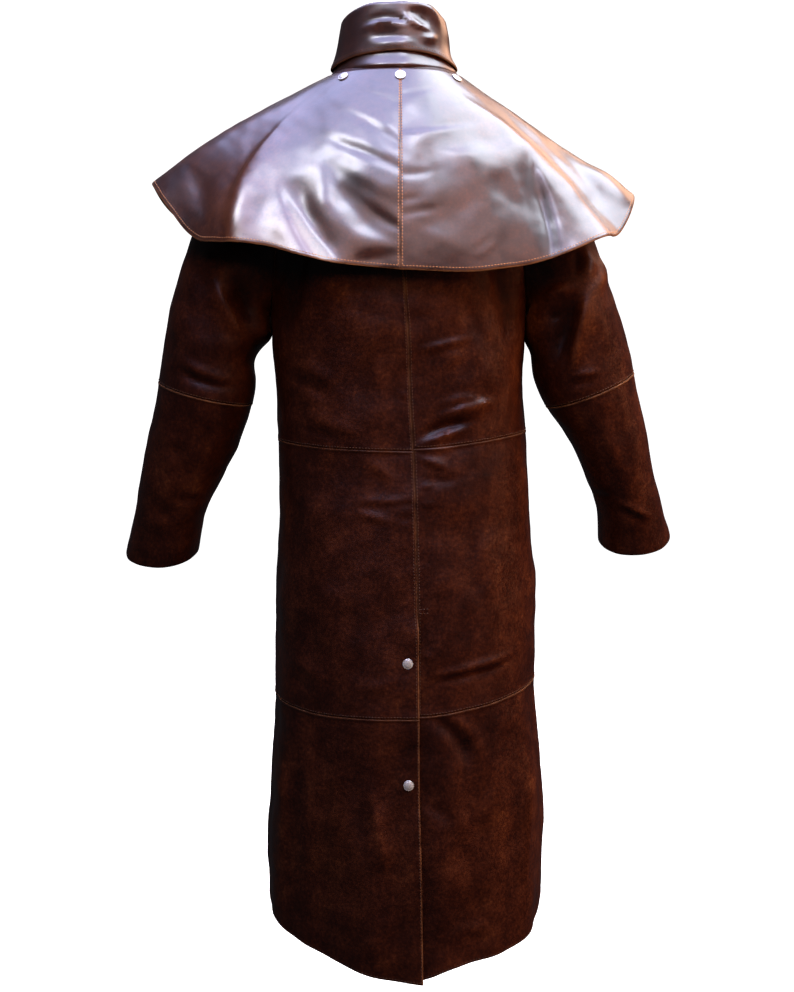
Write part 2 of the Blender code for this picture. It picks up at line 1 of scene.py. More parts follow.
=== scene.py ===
# Full-length leather coat with a shoulder cape, filled out as if worn and seen from behind.
# +Z is up, the back of the coat faces +Y and the wearer's left is +X. Tables are in mm and degrees.
import math

import bpy
import numpy as np
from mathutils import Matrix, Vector


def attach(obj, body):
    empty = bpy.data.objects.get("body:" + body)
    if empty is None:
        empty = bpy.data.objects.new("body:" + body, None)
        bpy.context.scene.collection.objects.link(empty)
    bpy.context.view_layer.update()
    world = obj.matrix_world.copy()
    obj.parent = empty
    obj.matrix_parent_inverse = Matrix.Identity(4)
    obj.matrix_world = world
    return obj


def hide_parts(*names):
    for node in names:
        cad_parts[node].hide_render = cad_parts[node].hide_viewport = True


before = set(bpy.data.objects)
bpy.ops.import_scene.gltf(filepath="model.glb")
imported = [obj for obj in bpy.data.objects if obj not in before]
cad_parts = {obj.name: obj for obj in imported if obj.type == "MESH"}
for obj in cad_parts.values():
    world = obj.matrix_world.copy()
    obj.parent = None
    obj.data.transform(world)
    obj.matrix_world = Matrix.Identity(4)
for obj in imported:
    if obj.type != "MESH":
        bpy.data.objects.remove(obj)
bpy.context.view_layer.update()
mm = 0.001
quarter = math.pi / 2
tiers = ("upper", "mid", "lower")
sides = ((1, "left"), (-1, "right"))

hide = {
    "wall": 1.5,            # one layer of leather
    "seamGap": 0.04,
    "layerGap": 0.5,
    "pitch": 4.0,           # spacing of the points of a panel
    "edgeSteps": [0, 0.8, 1.8, 3.2, 5.2],   # closer rows along every edge
}


# Small numeric helpers

def smoothBetween(x, xs, ys):
    # cubic curve through the table's points, with the mean slope at each of them
    xs, ys = np.asarray(xs, float), np.asarray(ys, float)
    if xs[0] > xs[-1]:
        xs, ys = xs[::-1], ys[::-1]
    slope = np.gradient(ys, xs)
    x = np.clip(x, xs[0], xs[-1])
    i = np.clip(np.searchsorted(xs, x, side="right") - 1, 0, len(xs) - 2)
    step = xs[i + 1] - xs[i]
    t = (x - xs[i]) / step
    rise = ys[i + 1] - ys[i]
    a = slope[i] * step - rise
    b = rise - slope[i + 1] * step
    return ys[i] + t * rise + t * (1 - t) * (a * (1 - t) + b * t)


def column(rows, k):
    # column k of a table as an array
    return np.array([row[k] for row in rows], float)


def fromTable(x, rows, k):
    # column k of a table at x, which runs along its first column
    return smoothBetween(x, column(rows, 0), column(rows, k))


def ease(x):
    # 0 to 1 with level ends: three x squared less two x cubed
    x = np.clip(x, 0, 1)
    return x * x * (3 - 2 * x)


def hump(x):
    # hill of height 1 at 0 that ends at -1 and 1
    return np.where(np.abs(x) < 1, np.cos(quarter * np.clip(x, -1, 1)) ** 2, 0.0)


def bell(x):
    # e to the power of minus x squared
    return np.exp(-x * x)


def unit(v):
    # vector divided by its length
    return v / np.linalg.norm(v, axis=-1, keepdims=True)


def oval(angle, left, right, back, front, square):
    # squared oval with four half axes: 0 is the back, a quarter turn the wearer's left
    s, c = np.sin(angle), np.cos(angle)
    scale = (np.abs(s) ** square + np.abs(c) ** square) ** (-1 / square)
    return np.where(s >= 0, left, right) * s * scale, np.where(c >= 0, back, front) * c * scale


def shares(length, pitch=hide["pitch"]):
    # 0 to 1 in even steps, with closer ones near both ends
    near = np.array(hide["edgeSteps"]) / length
    count = max(2, int((length - 2 * hide["edgeSteps"][-1]) / pitch))
    middle = np.linspace(near[-1], 1 - near[-1], count + 1)[1:-1]
    return np.concatenate([near, middle, 1 - near[::-1]])


def normals(grid, closed=False):
    # rows run down the piece and columns round it clockwise from above, so this points outwards
    down = np.gradient(grid, axis=0)
    across = (np.roll(grid, -1, 1) - np.roll(grid, 1, 1)) if closed else np.gradient(grid, axis=1)
    return unit(np.cross(across, down))


def gridFaces(rows, cols, closed=False):
    # numbers of a grid's points and its quads; in a closed grid the first column follows the last
    index = np.arange(rows * cols).reshape(rows, cols)
    if closed:
        index = np.concatenate([index, index[:, :1]], 1)
    quads = np.stack([index[:-1, :-1], index[:-1, 1:], index[1:, 1:], index[1:, :-1]], -1)
    return index, quads.reshape(-1, 4)


def lathe(profile, steps):
    # rings round the Z axis: each radius and height of the profile, carried once round
    turn = np.linspace(0, 2 * math.pi, steps + 1)[:-1]
    radius, height = np.asarray(profile, float).T[..., None]
    return np.stack([radius * np.cos(turn), radius * np.sin(turn), height + 0 * turn], -1)


def fromEdges(grid, closed=False):
    # distance in mm of each point from the four edges, along the grid's own lines
    down = np.linalg.norm(np.diff(grid, axis=0), axis=-1) / mm
    top = np.concatenate([np.zeros_like(down[:1]), np.cumsum(down, 0)])
    edge = {"top": top, "bottom": top[-1:] - top}
    if not closed:
        across = np.linalg.norm(np.diff(grid, axis=1), axis=-1) / mm
        first = np.concatenate([np.zeros_like(across[:, :1]), np.cumsum(across, 1)], 1)
        edge.update(first=first, last=first[:, -1:] - first)
    return edge


def ripple(points, seed, size, count=28):
    # unit noise: the sum of plane waves with random directions, lengths near size and phases
    rng = np.random.default_rng(seed)
    direction = unit(rng.normal(size=(count, 3)))
    wave = direction * (2 * math.pi / size / rng.uniform(0.65, 1.6, (count, 1)))
    phase = rng.uniform(0, 2 * math.pi, count)
    flat = points.reshape(-1, 3) / mm
    return (np.sin(flat @ wave.T + phase).sum(1) / math.sqrt(count / 2)).reshape(points.shape[:-1])


# Creases: each row is a bowed line on the coat as seen from behind, or from the front:
# x and z of its start and end, bow sideways, half width, height (a trough is below 0) and lean.
# Drawn from left to right in a back view, the bow and the wider side of a positive lean lie above.
# Height = height x bell across the line x a rise and fall along it.

creaseShape = {"rise": 0.42, "endWidth": 0.6}      # shares of a line's length and of its width


def creaseHeight(points, facing, backRows, frontRows):
    x, z = points[..., 0] / mm, points[..., 2] / mm
    total = np.zeros_like(x)
    for rows, weight in ((backRows, facing), (frontRows, 1 - facing)):
        for x0, z0, x1, z1, bow, wide, height, lean in rows:
            dx, dz = x1 - x0, z1 - z0
            length = math.hypot(dx, dz)
            t = ((x - x0) * dx + (z - z0) * dz) / length ** 2
            off = ((x - x0) * dz - (z - z0) * dx) / length - 4 * bow * t * (1 - t)
            along = ease(t / creaseShape["rise"]) * ease((1 - t) / creaseShape["rise"])
            ends = creaseShape["endWidth"]
            reach = wide * (1 + lean * np.sign(off)) * (ends + (1 - ends) * along)
            total += height * weight * along * bell(off / reach)
    return total


# Materials

class Wire:
    # one socket of a material; arithmetic on it adds Math nodes
    def __init__(self, tree, socket=None):
        self.tree = tree
        self.socket = socket

    def node(self, kind, settings=None, inputs=None, output=0):
        made = self.tree.nodes.new(kind)
        for key, value in (settings or {}).items():
            if key == "stops":
                ramp = made.color_ramp.elements
                while len(ramp) < len(value):
                    ramp.new(0.5)
                for stop, (place, colour) in zip(ramp, value):
                    stop.position = place
                    stop.color = (*colour, 1)
            else:
                setattr(made, key, value)
        for key, value in (inputs or {}).items():
            if isinstance(value, Wire):
                self.tree.links.new(value.socket, made.inputs[key])
            else:
                made.inputs[key].default_value = value
        return Wire(self.tree, made.outputs[output])

    def math(self, operation, first, second, clamp=False):
        settings = {"operation": operation, "use_clamp": clamp}
        return self.node("ShaderNodeMath", settings, {0: first, 1: second})

    def __add__(self, other):
        return self.math("ADD", self, other)

    def __sub__(self, other):
        return self.math("SUBTRACT", self, other)

    def __rsub__(self, other):
        return self.math("SUBTRACT", other, self)

    def __mul__(self, other):
        return self.math("MULTIPLY", self, other)

    __radd__ = __add__
    __rmul__ = __mul__

    def within(self):
        # kept from 0 to 1
        return self.math("ADD", self, 0.0, clamp=True)

    def mix(self, colourA, colourB):
        return self.node("ShaderNodeMix", {"data_type": "RGBA"}, {0: self, 6: colourA, 7: colourB}, 2)

    def noise(self, scale, detail, rough=0.5):
        # noise at the point that this wire carries
        inputs = {"Vector": self, "Scale": scale, "Detail": detail, "Roughness": rough}
        return self.node("ShaderNodeTexNoise", {}, inputs)

    def attribute(self, name):
        return self.node("ShaderNodeAttribute", {"attribute_name": name}, output=2)

    def bump(self, strength, distance):
        # this wire as the height of a bump
        return self.node("ShaderNodeBump", {}, {"Strength": strength, "Distance": distance, "Height": self})


def newMaterial(name, fixed):
    # a Principled material with its constant numbers set
    material = bpy.data.materials.new(name)
    material.use_nodes = True
    shader = material.node_tree.nodes["Principled BSDF"]
    for key, value in fixed.items():
        shader.inputs[key].default_value = value
    return material


def objectPlace(material):
    # a wire with the Object coordinates
    return Wire(material.node_tree).node("ShaderNodeTexCoord", output=3)


def feed(material, links):
    # links wires to the shader's sockets
    shader = material.node_tree.nodes["Principled BSDF"]
    for key, wire in links.items():
        material.node_tree.links.new(wire.socket, shader.inputs[key])
    return material


leatherLook = {
    "fixed": {"Specular IOR Level": 0.25, "Coat Roughness": 0.30, "Coat IOR": 1.9},
    "tones": [(0.0, (0.0085, 0.0016, 0.0005)), (0.4, (0.024, 0.0045, 0.0013)),
              (0.7, (0.048, 0.0102, 0.0029)), (1.0, (0.094, 0.0250, 0.0068))],
    # tan of worn edges; along the raised upper edges of lapped seams it is a painted highlight
    "worn": (0.20, 0.085, 0.036, 1),
    # scale, detail and roughness of each pattern
    "blotch": (6.0, 3.0, 0.55), "mottle": (42.0, 5.0, 0.65), "streak": (26.0, 3.0, 0.5),
    "fine": (230.0, 3.0, 0.6), "wrinkle": (85.0, 6.0, 0.62),
    "toneShare": {"blotch": 0.6, "mottle": 0.95, "streak": 0.75, "fine": 1.1},
    "streakStretch": (1.0, 1.0, 0.3), "grain": 420.0,
    "midTone": 0.47, "crestTone": 0.03, "roughness": 0.42,
}


def outerLeather():
    # dark brown pull-up leather: soft blotches; paler on ridges, as stretched pull-up leather is, and darker
    # in troughs as painted shade; paler along worn edges, and along the raised upper edges of lapped seams as
    # a painted highlight; fine grain
    look = leatherLook
    material = newMaterial("brown_leather_outer", look["fixed"])
    place = objectPlace(material)
    stretched = place.node("ShaderNodeMapping", {}, {"Vector": place, "Scale": look["streakStretch"]})
    pattern = {key: place.noise(*look[key]) for key in ("blotch", "mottle", "fine", "wrinkle")}
    pattern["streak"] = stretched.noise(*look["streak"])
    mottle, fine = pattern["mottle"], pattern["fine"]
    crest, worn, polish = (place.attribute(name) for name in ("crest", "worn", "polish"))
    # tone follows the crease height: paler on ridges, as stretched pull-up leather is, and darker in troughs
    # as painted shade
    tone = crest * look["crestTone"] + look["midTone"]
    for key, share in look["toneShare"].items():
        tone = tone + (pattern[key] - 0.5) * share
    ramp = place.node("ShaderNodeValToRGB", {"stops": look["tones"]}, {0: tone})
    broken = (worn * (3.2 * mottle - 0.9)).within()         # the wear, and the painted highlight along lapped seams, show in patches
    rough = look["roughness"] + (mottle - 0.5) * 0.2 + (fine - 0.5) * 0.12 - crest * 0.006 + worn * 0.1
    cells = place.node("ShaderNodeTexVoronoi", {"feature": "DISTANCE_TO_EDGE"},
                       {"Vector": place, "Scale": look["grain"]})
    pores = place.math("MINIMUM", cells * 6.0, 1.0)
    height = pores * 0.10 + fine * 0.30 + pattern["wrinkle"]
    shine = (polish * (0.75 + 0.5 * mottle)).within()
    return feed(material, {"Base Color": broken.mix(ramp, look["worn"]), "Roughness": rough,
                           "Coat Weight": shine, "Normal": height.bump(0.3, 0.0022)})


def innerLeather():
    # the flesh side: matt, paler and fibrous
    material = newMaterial("brown_leather_flesh_side", {"Specular IOR Level": 0.2})
    place = objectPlace(material)
    fibre = place.noise(320.0, 4.0)
    patch = place.noise(14.0, 3.0)
    colour = (0.5 * fibre + 0.5 * patch).mix((0.030, 0.013, 0.008, 1), (0.085, 0.042, 0.026, 1))
    return feed(material, {"Base Color": colour, "Roughness": 0.78 + 0.2 * fibre,
                           "Normal": fibre.bump(0.4, 0.0008)})


def cutEdge():
    # the raw edge of the hide
    material = newMaterial("brown_leather_cut_edge", {"Specular IOR Level": 0.3})
    layer = objectPlace(material).noise(180.0, 4.0)
    colour = layer.mix((0.075, 0.028, 0.012, 1), (0.26, 0.115, 0.05, 1))
    return feed(material, {"Base Color": colour, "Roughness": 0.55 + 0.3 * layer,
                           "Normal": layer.bump(0.3, 0.0004)})


def threadMaterial():
    # waxed tan thread with its twist, darker in patches; its pale share keeps it dark where the coat is dimly
    # lit and tan on the brightly lit cape, as painted shade
    material = newMaterial("tan_thread", {"Specular IOR Level": 0.4})
    place = objectPlace(material)
    twist = place.noise(900.0, 2.0)
    soil = place.noise(30.0, 3.0)
    paleShare = (place.attribute("pale") * (0.6 * twist + 0.6 * soil)).within()
    colour = paleShare.mix((0.030, 0.0095, 0.0045, 1), (0.50, 0.23, 0.09, 1))
    return feed(material, {"Base Color": colour, "Roughness": 0.45 + 0.3 * twist,
                           "Normal": twist.bump(0.5, 0.0002)})


def snapMetal():
    # bright plated metal, faintly scratched and dulled
    material = newMaterial("snap_metal", {"Metallic": 0.6})
    place = objectPlace(material)
    scratch = place.noise(700.0, 4.0)
    haze = place.noise(160.0, 2.0)
    colour = haze.mix((0.78, 0.77, 0.74, 1), (0.97, 0.97, 0.96, 1))
    return feed(material, {"Base Color": colour, "Roughness": 0.16 + 0.22 * haze,
                           "Normal": scratch.bump(0.08, 0.0002)})


leatherFaces = [outerLeather(), innerLeather(), cutEdge()]
thread = threadMaterial()
metal = snapMetal()
print("materials made")


# Meshes

def meshObject(name, points, quads, materials, faceMaterial=None, sharp=50):
    # closed mesh of quads, turned outwards if its volume comes out negative
    a, b, c, d = (points[quads[:, k]] for k in range(4))
    volume = np.einsum("ij,ij->", a, np.cross(b, c)) + np.einsum("ij,ij->", a, np.cross(c, d))
    if volume < 0:
        quads = quads[:, ::-1]
    mesh = bpy.data.meshes.new(name)
    mesh.vertices.add(len(points))
    mesh.vertices.foreach_set("co", points.astype(np.float32).ravel())
    mesh.loops.add(4 * len(quads))
    mesh.loops.foreach_set("vertex_index", quads.astype(np.int32).ravel())
    mesh.polygons.add(len(quads))
    mesh.polygons.foreach_set("loop_start", np.arange(0, 4 * len(quads), 4, dtype=np.int32))
    for material in materials:
        mesh.materials.append(material)
    if faceMaterial is not None:
        mesh.polygons.foreach_set("material_index", faceMaterial.astype(np.int32))
    mesh.update(calc_edges=True)
    mesh.shade_smooth()
    mesh.set_sharp_from_angle(angle=math.radians(sharp))
    item = bpy.data.objects.new(name, mesh)
    bpy.context.scene.collection.objects.link(item)
    return item


def wallMesh(name, outer, inner, closed, fields):
    # outer and inner grid of a leather wall, joined round their rims
    rows, cols = outer.shape[:2]
    half = rows * cols
    index, face = gridFaces(rows, cols, closed)
    rims = [(index[0, :-1], index[0, 1:]), (index[-1, 1:], index[-1, :-1])]
    if not closed:
        rims += [(index[1:, 0], index[:-1, 0]), (index[:-1, -1], index[1:, -1])]
    rim = np.concatenate([np.stack([b, a, a + half, b + half], -1) for a, b in rims])
    quads = np.concatenate([face, face[:, ::-1] + half, rim])
    kind = np.repeat([0, 1, 2], [len(face), len(face), len(rim)])
    points = np.concatenate([outer.reshape(-1, 3), inner.reshape(-1, 3)])
    item = meshObject(name, points, quads, leatherFaces, kind)
    for key, values in fields.items():
        layer = item.data.attributes.new(key, "FLOAT", "POINT")
        layer.data.foreach_set("value", np.tile(values.ravel(), 2).astype(np.float32))
    return item


edgeShapes = {      # height in mm at a distance d from an edge
    "seam": lambda d: -1.0 * bell(d / 1.3) + 0.3 * bell((d - 2.6) / 1.6),       # drawn in along the stitching
    "flat": lambda d: -0.4 * bell(d / 1.0),                                     # opened and stitched down
    "lap": lambda d: 0.8 * bell((d - 1.2) / 1.5) - 0.3 * bell((d - 5) / 2),     # lies on its neighbour
    "turned": lambda d: -1.0 * np.clip(1 - d / 3, 0, 1) ** 2,                   # turned hem
}
crumpleWaves = [(1.25, 150), (0.5, 60), (0.15, 24)]     # height and wave length
placed = {}     # finished pieces by node, for stitching and lights


def leatherPiece(node, grid, edges, backRows, frontRows, crumple=1.0, seed=1, closed=False, fade=1.0,
                 lift=0.0, floor=None, polish=0.08):
    # a wall on the solid's form: creases + crumple noise, then the shape of each edge, moved along the normal
    out = normals(grid, closed)
    facing = ease(0.5 + 1.6 * out[..., 1])      # 1 at the back of the coat, 0 at its front
    crest = creaseHeight(grid, facing, backRows, frontRows)
    soft = sum(high * ripple(grid, seed + k, long) for k, (high, long) in enumerate(crumpleWaves))
    height = (crest + crumple * soft) * fade
    if floor is not None:
        height = np.maximum(height, floor)
    distance = fromEdges(grid, closed)
    worn = np.zeros_like(height)
    # each edge adds to the tan edge mask: real wear, and on the raised upper edges of lapped seams a painted
    # highlight
    for edge, (shape, wearAndHighlightShare) in edges.items():
        height = height + edgeShapes[shape](distance[edge])
        worn = np.maximum(worn, wearAndHighlightShare * bell((distance[edge] - 0.7) / 1.0))
    outer = grid + out * ((height + lift) * mm)[..., None]
    inner = outer - out * hide["wall"] * mm
    fields = {"crest": crest * fade, "worn": worn, "polish": polish * (1 - 0.85 * np.clip(worn, 0, 1))}
    item = wallMesh(node + "_hide", outer, inner, closed, fields)
    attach(item, "root")
    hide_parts(node)
    placed[node] = {"item": item, "outer": outer, "out": normals(outer, closed), "distance": distance}


# Body: panels in three tiers on squared ovals

bodyCut = {
    # z, half widths left and right, depths back and front, squareness, centre back seam from the middle
    "sections": [
        (15, 84, 66, 70, 78, 2.0, 0), (0, 97, 80, 80, 88, 2.0, 0), (-25, 123, 108, 94, 101, 2.0, 0),
        (-50, 150, 140, 105, 112, 2.05, 0), (-75, 170, 163, 114, 120, 2.15, 0),
        (-130, 180, 175, 126, 132, 2.4, -1), (-200, 184, 180, 134, 143, 2.6, -2),
        (-280, 186, 182, 136, 149, 2.5, -5), (-375, 185, 182, 134, 149, 2.4, -11),
        (-460, 180, 181, 130, 143, 2.35, -14), (-525, 178, 184, 129, 141, 2.3, -18),
        (-620, 181, 190, 134, 143, 2.3, -21), (-760, 183, 200, 144, 150, 2.25, -24),
        (-900, 186, 202, 152, 157, 2.2, -25), (-1020, 195, 212, 160, 164, 2.2, -26),
        (-1150, 200, 216, 169, 171, 2.2, -29), (-1290, 200, 216, 176, 178, 2.2, -31),
    ],
    # turn from the centre back, then waist seam, knee seam and hem, left and right of each
    "seams": [
        (-10, -530, -526, -902, -901, -1280, -1290), (7, -529, -526, -902, -900, -1271, -1277),
        (18, -528, -524, -902, -897, -1262, -1262),
        (35, -526, -518, -903, -889, -1246, -1252), (50, -523, -513, -900, -881, -1229, -1243),
        (70, -520, -509, -893, -875, -1209, -1226), (90, -517, -507, -889, -872, -1201, -1214),
        (135, -519, -513, -893, -882, -1222, -1228), (195, -522, -522, -896, -896, -1240, -1240),
    ],
    # soft skirt folds: angle, half width, height, z where each starts and is full
    "folds": [
        (12, 12, 5, -740, -1180), (33, 13, -5, -700, -1150), (58, 14, 6, -640, -1120),
        (-28, 11, -5, -720, -1020), (-56, 13, 6, -760, -1120), (104, 14, -5, -660, -1120),
        (132, 13, 7, -620, -1150), (-112, 14, -6, -640, -1120), (-138, 13, 6, -700, -1150),
    ],
    "armholeZ": -202, "armholeHalf": 137, "armholeTurn": 27,
    "frontLap": 30, "frontRamp": 24,        # half of the lap, and the slope up from under it
    "frontLift": (0.8, 30),                 # height and reach from the edge
    "ventShare": 0.6, "liftOver": 30, "partOver": 25,
    # the left vent flap lies over the right side: its overlap, then heights or shares with their reaches
    "flapOver": 1.5, "flapLift": (3.2, 24), "flapSwell": (0.9, 60), "flapHeld": (0.7, 34),
    "underDip": (4.5, 13),
    "ventSnapsZ": [-824, -995], "ventSnapInset": 14, "snapCalm": 15,
    "frontSnapsZ": [-95, -235, -375, -515, -655],
    "calmFrom": 100, "calmOver": 100, "armholeCalm": 22, "armholeFoot": -345,   # fewer creases up there
    "panelWidth": 280,
}
bodyCreases = [
    (138, -120, 164, -405, 0, 25, -13, 0),          # hollows by the armholes
    (-132, -120, -156, -405, 0, 24, -13, 0),
    (-60, -480, -78, -455, 0, 3, 1.8, 0),           # short wrinkles over the pull folds
    (-80, -476, -97, -454, 1, 3, 1.6, 0),
    (-104, -472, -119, -455, 0, 3, 1.4, 0),
    (-16, -391, -106, -370, -1, 4.5, 3.4, -0.3),    # line right of the centre seam
    (-46, -486, -142, -459, 4, 9, 7, -0.4),         # pull folds above the waist
    (-20, -511, -116, -482, 3, 7, -6, 0),
    (-16, -524, -105, -496, 3, 6, 5, -0.4),
    (-49, -470, -128, -466, 12, 6, 3, 0),
    (-62, -420, -54, -388, -16, 12, 2, 0),
    (-95, -362, -139, -460, -3, 12, 2.2, 0),
    (-83, -302, -127, -390, -8, 10, -1.8, 0),
    (2, -446, -11, -458, 0, 4, 1.8, 0),
    (161, -408, 84, -448, 8, 9, 3, 0.3),            # from the left armhole
    (165, -424, 92, -458, 1, 8, -2.6, 0),
    (140, -476, 45, -510, -1, 10, 2.6, 0.3),
    (146, -494, 76, -516, -1, 6, -1.8, 0),
    (34, -322, 20, -458, -11, 14, 1.6, 0),
    (96, -308, 108, -432, -12, 14, -1.6, 0),
    (-21, -540, -71, -558, 3, 6, 3.6, 0.35),        # under the waist seam
    (-24, -530, -80, -526, 0, 4, 2, 0.2),
    (-28, -564, -90, -564, -6, 7, -2.2, 0),
    (53, -542, 6, -574, 4, 9, 2.4, 0),
    (69, -598, -20, -594, -4, 5, 2.2, 0.4),         # drag lines to the centre seam
    (69, -614, 6, -630, 1, 6, 2.4, 0.3),
    (3, -604, -20, -604, 2, 3.5, -1.6, 0),
    (6, -620, -20, -618, -3, 3.5, -1.6, 0),
    (-25, -580, -46, -580, 2, 3.5, 1.5, 0),
    (-25, -604, -55, -606, 3, 3.5, 1.5, 0),
    (-114, -606, -141, -798, -2, 16, 2.6, 0),
    (-97, -626, -120, -768, -4, 12, -2, 0),
    (98, -626, 98, -794, -12, 16, 2, 0),
    (142, -744, 143, -858, 16, 12, -1.8, 0),
    (-33, -842, -186, -812, -5, 6, 4.5, 0.2),       # above the knee seam
    (-33, -852, -178, -826, -3, 6, -2.6, 0),
    (-26, -814, -49, -820, 2, 4, 1.8, 0.2),
    (171, -830, 98, -858, 4, 9, 2, 0.3),
    (165, -852, 117, -876, -1, 7, -1.6, 0),
    (56, -862, -5, -838, -5, 8, 1.6, 0),
    (-33, -898, -98, -988, 20, 10, -6, 0),          # curved trough beside the vent
    (-56, -892, -118, -1010, 22, 12, 3.6, 0),
    (-30, -1020, -79, -1058, 5, 9, -3, 0),
    (-73, -1018, -108, -1126, 5, 10, 2.4, 0),
    (49, -964, 16, -1144, 0, 6, 3.4, 0.2),          # hanging folds of the skirt
    (67, -976, 40, -1156, 0, 10, -2, 0),
    (-182, -954, -182, -1190, 3, 6, 3.2, 0),
    (-163, -952, -161, -1176, 2, 9, -2.2, 0),
    (169, -950, 174, -1154, 2, 8, 2.6, 0),
    (143, -930, 143, -1160, -6, 12, -2, 0),
    (-62, -1210, -146, -1216, 5, 10, 2.4, 0),
    (-2, -942, -21, -940, -3, 3, -1.4, 0),
    (-2, -954, -20, -952, -1, 3, -1.4, 0),
    (99, -908, 100, -1136, 9, 16, 2.2, 0),
]
bodyFrontCreases = [
    (-30, -300, -150, -250, 8, 10, 3, 0.3),
    (-40, -420, -150, -380, 6, 9, 3, 0.3),
    (35, -330, 150, -270, 8, 10, 3, 0.3),
    (40, -450, 150, -410, -6, 9, 2.6, 0.3),
    (42, -505, 130, -480, 5, 7, 2.6, 0.3),
    (-40, -500, -130, -470, 6, 7, 2.4, 0.3),
    (42, -545, 120, -570, 4, 7, 2.6, 0),
    (-40, -548, -120, -566, 4, 7, 2.4, 0),
    (60, -600, 75, -780, 8, 14, 2.6, 0),
    (-70, -620, -90, -800, -8, 14, 2.4, 0),
    (110, -640, 120, -860, 6, 12, -2.2, 0),
    (-120, -640, -128, -860, 6, 12, -2, 0),
    (44, -850, 165, -820, 6, 8, 3, 0.4),
    (-45, -862, -175, -835, 6, 8, 2.6, 0.4),
    (48, -930, 72, -1180, 10, 10, 3.4, 0.2),
    (-50, -920, -82, -1190, 8, 10, 3.2, 0.2),
    (100, -940, 125, -1170, 6, 14, -2.4, 0),
    (-110, -930, -135, -1180, -6, 14, -2.4, 0),
]
seamPlace = {"waist": 1, "knee": 3, "hem": 5}


def bodySize(k, z):
    # column k of the sections at a height, in metres
    return fromTable(z / mm, bodyCut["sections"], k) * mm


def bodySurface(angle, z):
    # squared oval of the height's section, swollen by the skirt folds
    angle, z = np.broadcast_arrays(np.asarray(angle, float), np.asarray(z, float))
    x, y = oval(angle, *(bodySize(k, z) for k in (1, 2, 3, 4)), bodySize(5, z) / mm)
    swell = np.zeros_like(z)
    for turn, width, height, top, full in bodyCut["folds"]:
        away = np.remainder(np.degrees(angle) - turn + 180, 360) - 180
        swell = swell + height * mm * hump(away / width) * ease((top - z / mm) / (top - full))
    reach = np.hypot(x, y)
    return np.stack([x * (1 + swell / reach), y * (1 + swell / reach), z], -1)


def bodyOut(angle, z, tiny=1e-4):
    # outward normal: cross product of a small step round and a small step down
    across = bodySurface(angle + tiny, z) - bodySurface(angle - tiny, z)
    down = bodySurface(angle, z - tiny) - bodySurface(angle, z + tiny)
    return unit(np.cross(across, down))


def seamAngle(z):
    # turn of the centre back seam: arc sine of its offset over the right half width
    return np.arcsin(bodySize(6, z) / bodySize(2, z))


def seamZ(seam, side, angle):
    # height of a seam or the hem at a turn, on the left or right side
    k = seamPlace[seam] + (0 if side > 0 else 1)
    return fromTable(side * np.degrees(angle), bodyCut["seams"], k) * mm


def sideAngle(z, side, sign):
    # side seam and shoulder seam at a quarter turn, opened by the oval armhole
    level = np.clip((bodyCut["armholeZ"] * mm - z) / (bodyCut["armholeHalf"] * mm), -1, 1)
    opening = math.radians(bodyCut["armholeTurn"]) * np.sqrt(1 - level ** 2)
    gap = hide["seamGap"] / 2 * mm / bodySize(3 if sign > 0 else 4, z)
    return side * (quarter - sign * (opening + gap))


def meanSeams():
    # mean heights of the waist seam, the knee seam and the hem near the centre back
    return [np.mean(bodyCut["seams"][1][k:k + 2]) * mm for k in seamPlace.values()]


def ventTop():
    # a share of the way from the waist seam to the knee seam
    waist, knee, _ = meanSeams()
    return waist + (knee - waist) * bodyCut["ventShare"]


def tierRows(tier):
    # mean height of each row of a tier; the upper one has closer rows at both ends of the armhole
    waist, knee, hem = meanSeams()
    if tier == "mid":
        return waist + (knee - waist) * shares((waist - knee) / mm)
    if tier == "lower":
        return knee + (hem - knee) * shares((knee - hem) / mm)
    top = (bodyCut["armholeZ"] + bodyCut["armholeHalf"]) * mm
    low = (bodyCut["armholeZ"] - bodyCut["armholeHalf"]) * mm
    return np.concatenate([top * shares(-top / mm)[:-1],
                           top + (low - top) * shares((top - low) / mm)[:-1],
                           low + (waist - low) * shares((low - waist) / mm)])


def panelGrid(tier, part, side):
    # rows of a panel from its top seam to its bottom seam, columns from the centre to the side
    guide = tierRows(tier)[:, None]
    width = bodySize(2, guide)
    gap = hide["seamGap"] / 2 * mm
    if part == "back":
        opened = ease((ventTop() - guide) / (bodyCut["partOver"] * mm))
        over = bodyCut["flapOver"] * mm * opened if side > 0 else 0
        start = seamAngle(guide) + (side * gap - over) / width
        end = sideAngle(guide, side, 1)
    else:
        start = side * (math.pi + bodyCut["frontLap"] * mm / width)
        end = sideAngle(guide, side, -1)
    angle = start + (end - start) * shares(bodyCut["panelWidth"])
    if tier == "upper":
        low = (bodyCut["armholeZ"] - bodyCut["armholeHalf"]) * mm
        share = np.clip((low - guide) / (low - guide[-1]), 0, 1)
        z = np.where(guide >= low, guide, low + (seamZ("waist", side, angle) + gap - low) * share)
    else:
        first, second = ("waist", "knee") if tier == "mid" else ("knee", "hem")
        share = (guide - guide[0]) / (guide[-1] - guide[0])
        top = seamZ(first, side, angle) - gap
        bottom = seamZ(second, side, angle) + (gap if tier == "mid" else 0)
        z = top + (bottom - top) * share
    return angle, z


def snapAt(angle, z):
    # a place on the body and the way out from it
    return bodySurface(angle, z), bodyOut(angle, z)


snapPlaces = {}
for number, z in enumerate(bodyCut["ventSnapsZ"], 1):
    z = np.array(z * mm)
    inset = bodyCut["ventSnapInset"] * mm / bodySize(2, z)
    snapPlaces[f"snap_vent_{number}"] = snapAt(seamAngle(z) + inset, z)
for number, z in enumerate(bodyCut["frontSnapsZ"], 1):
    snapPlaces[f"snap_front_{number}"] = snapAt(np.array(math.pi), np.array(z * mm))


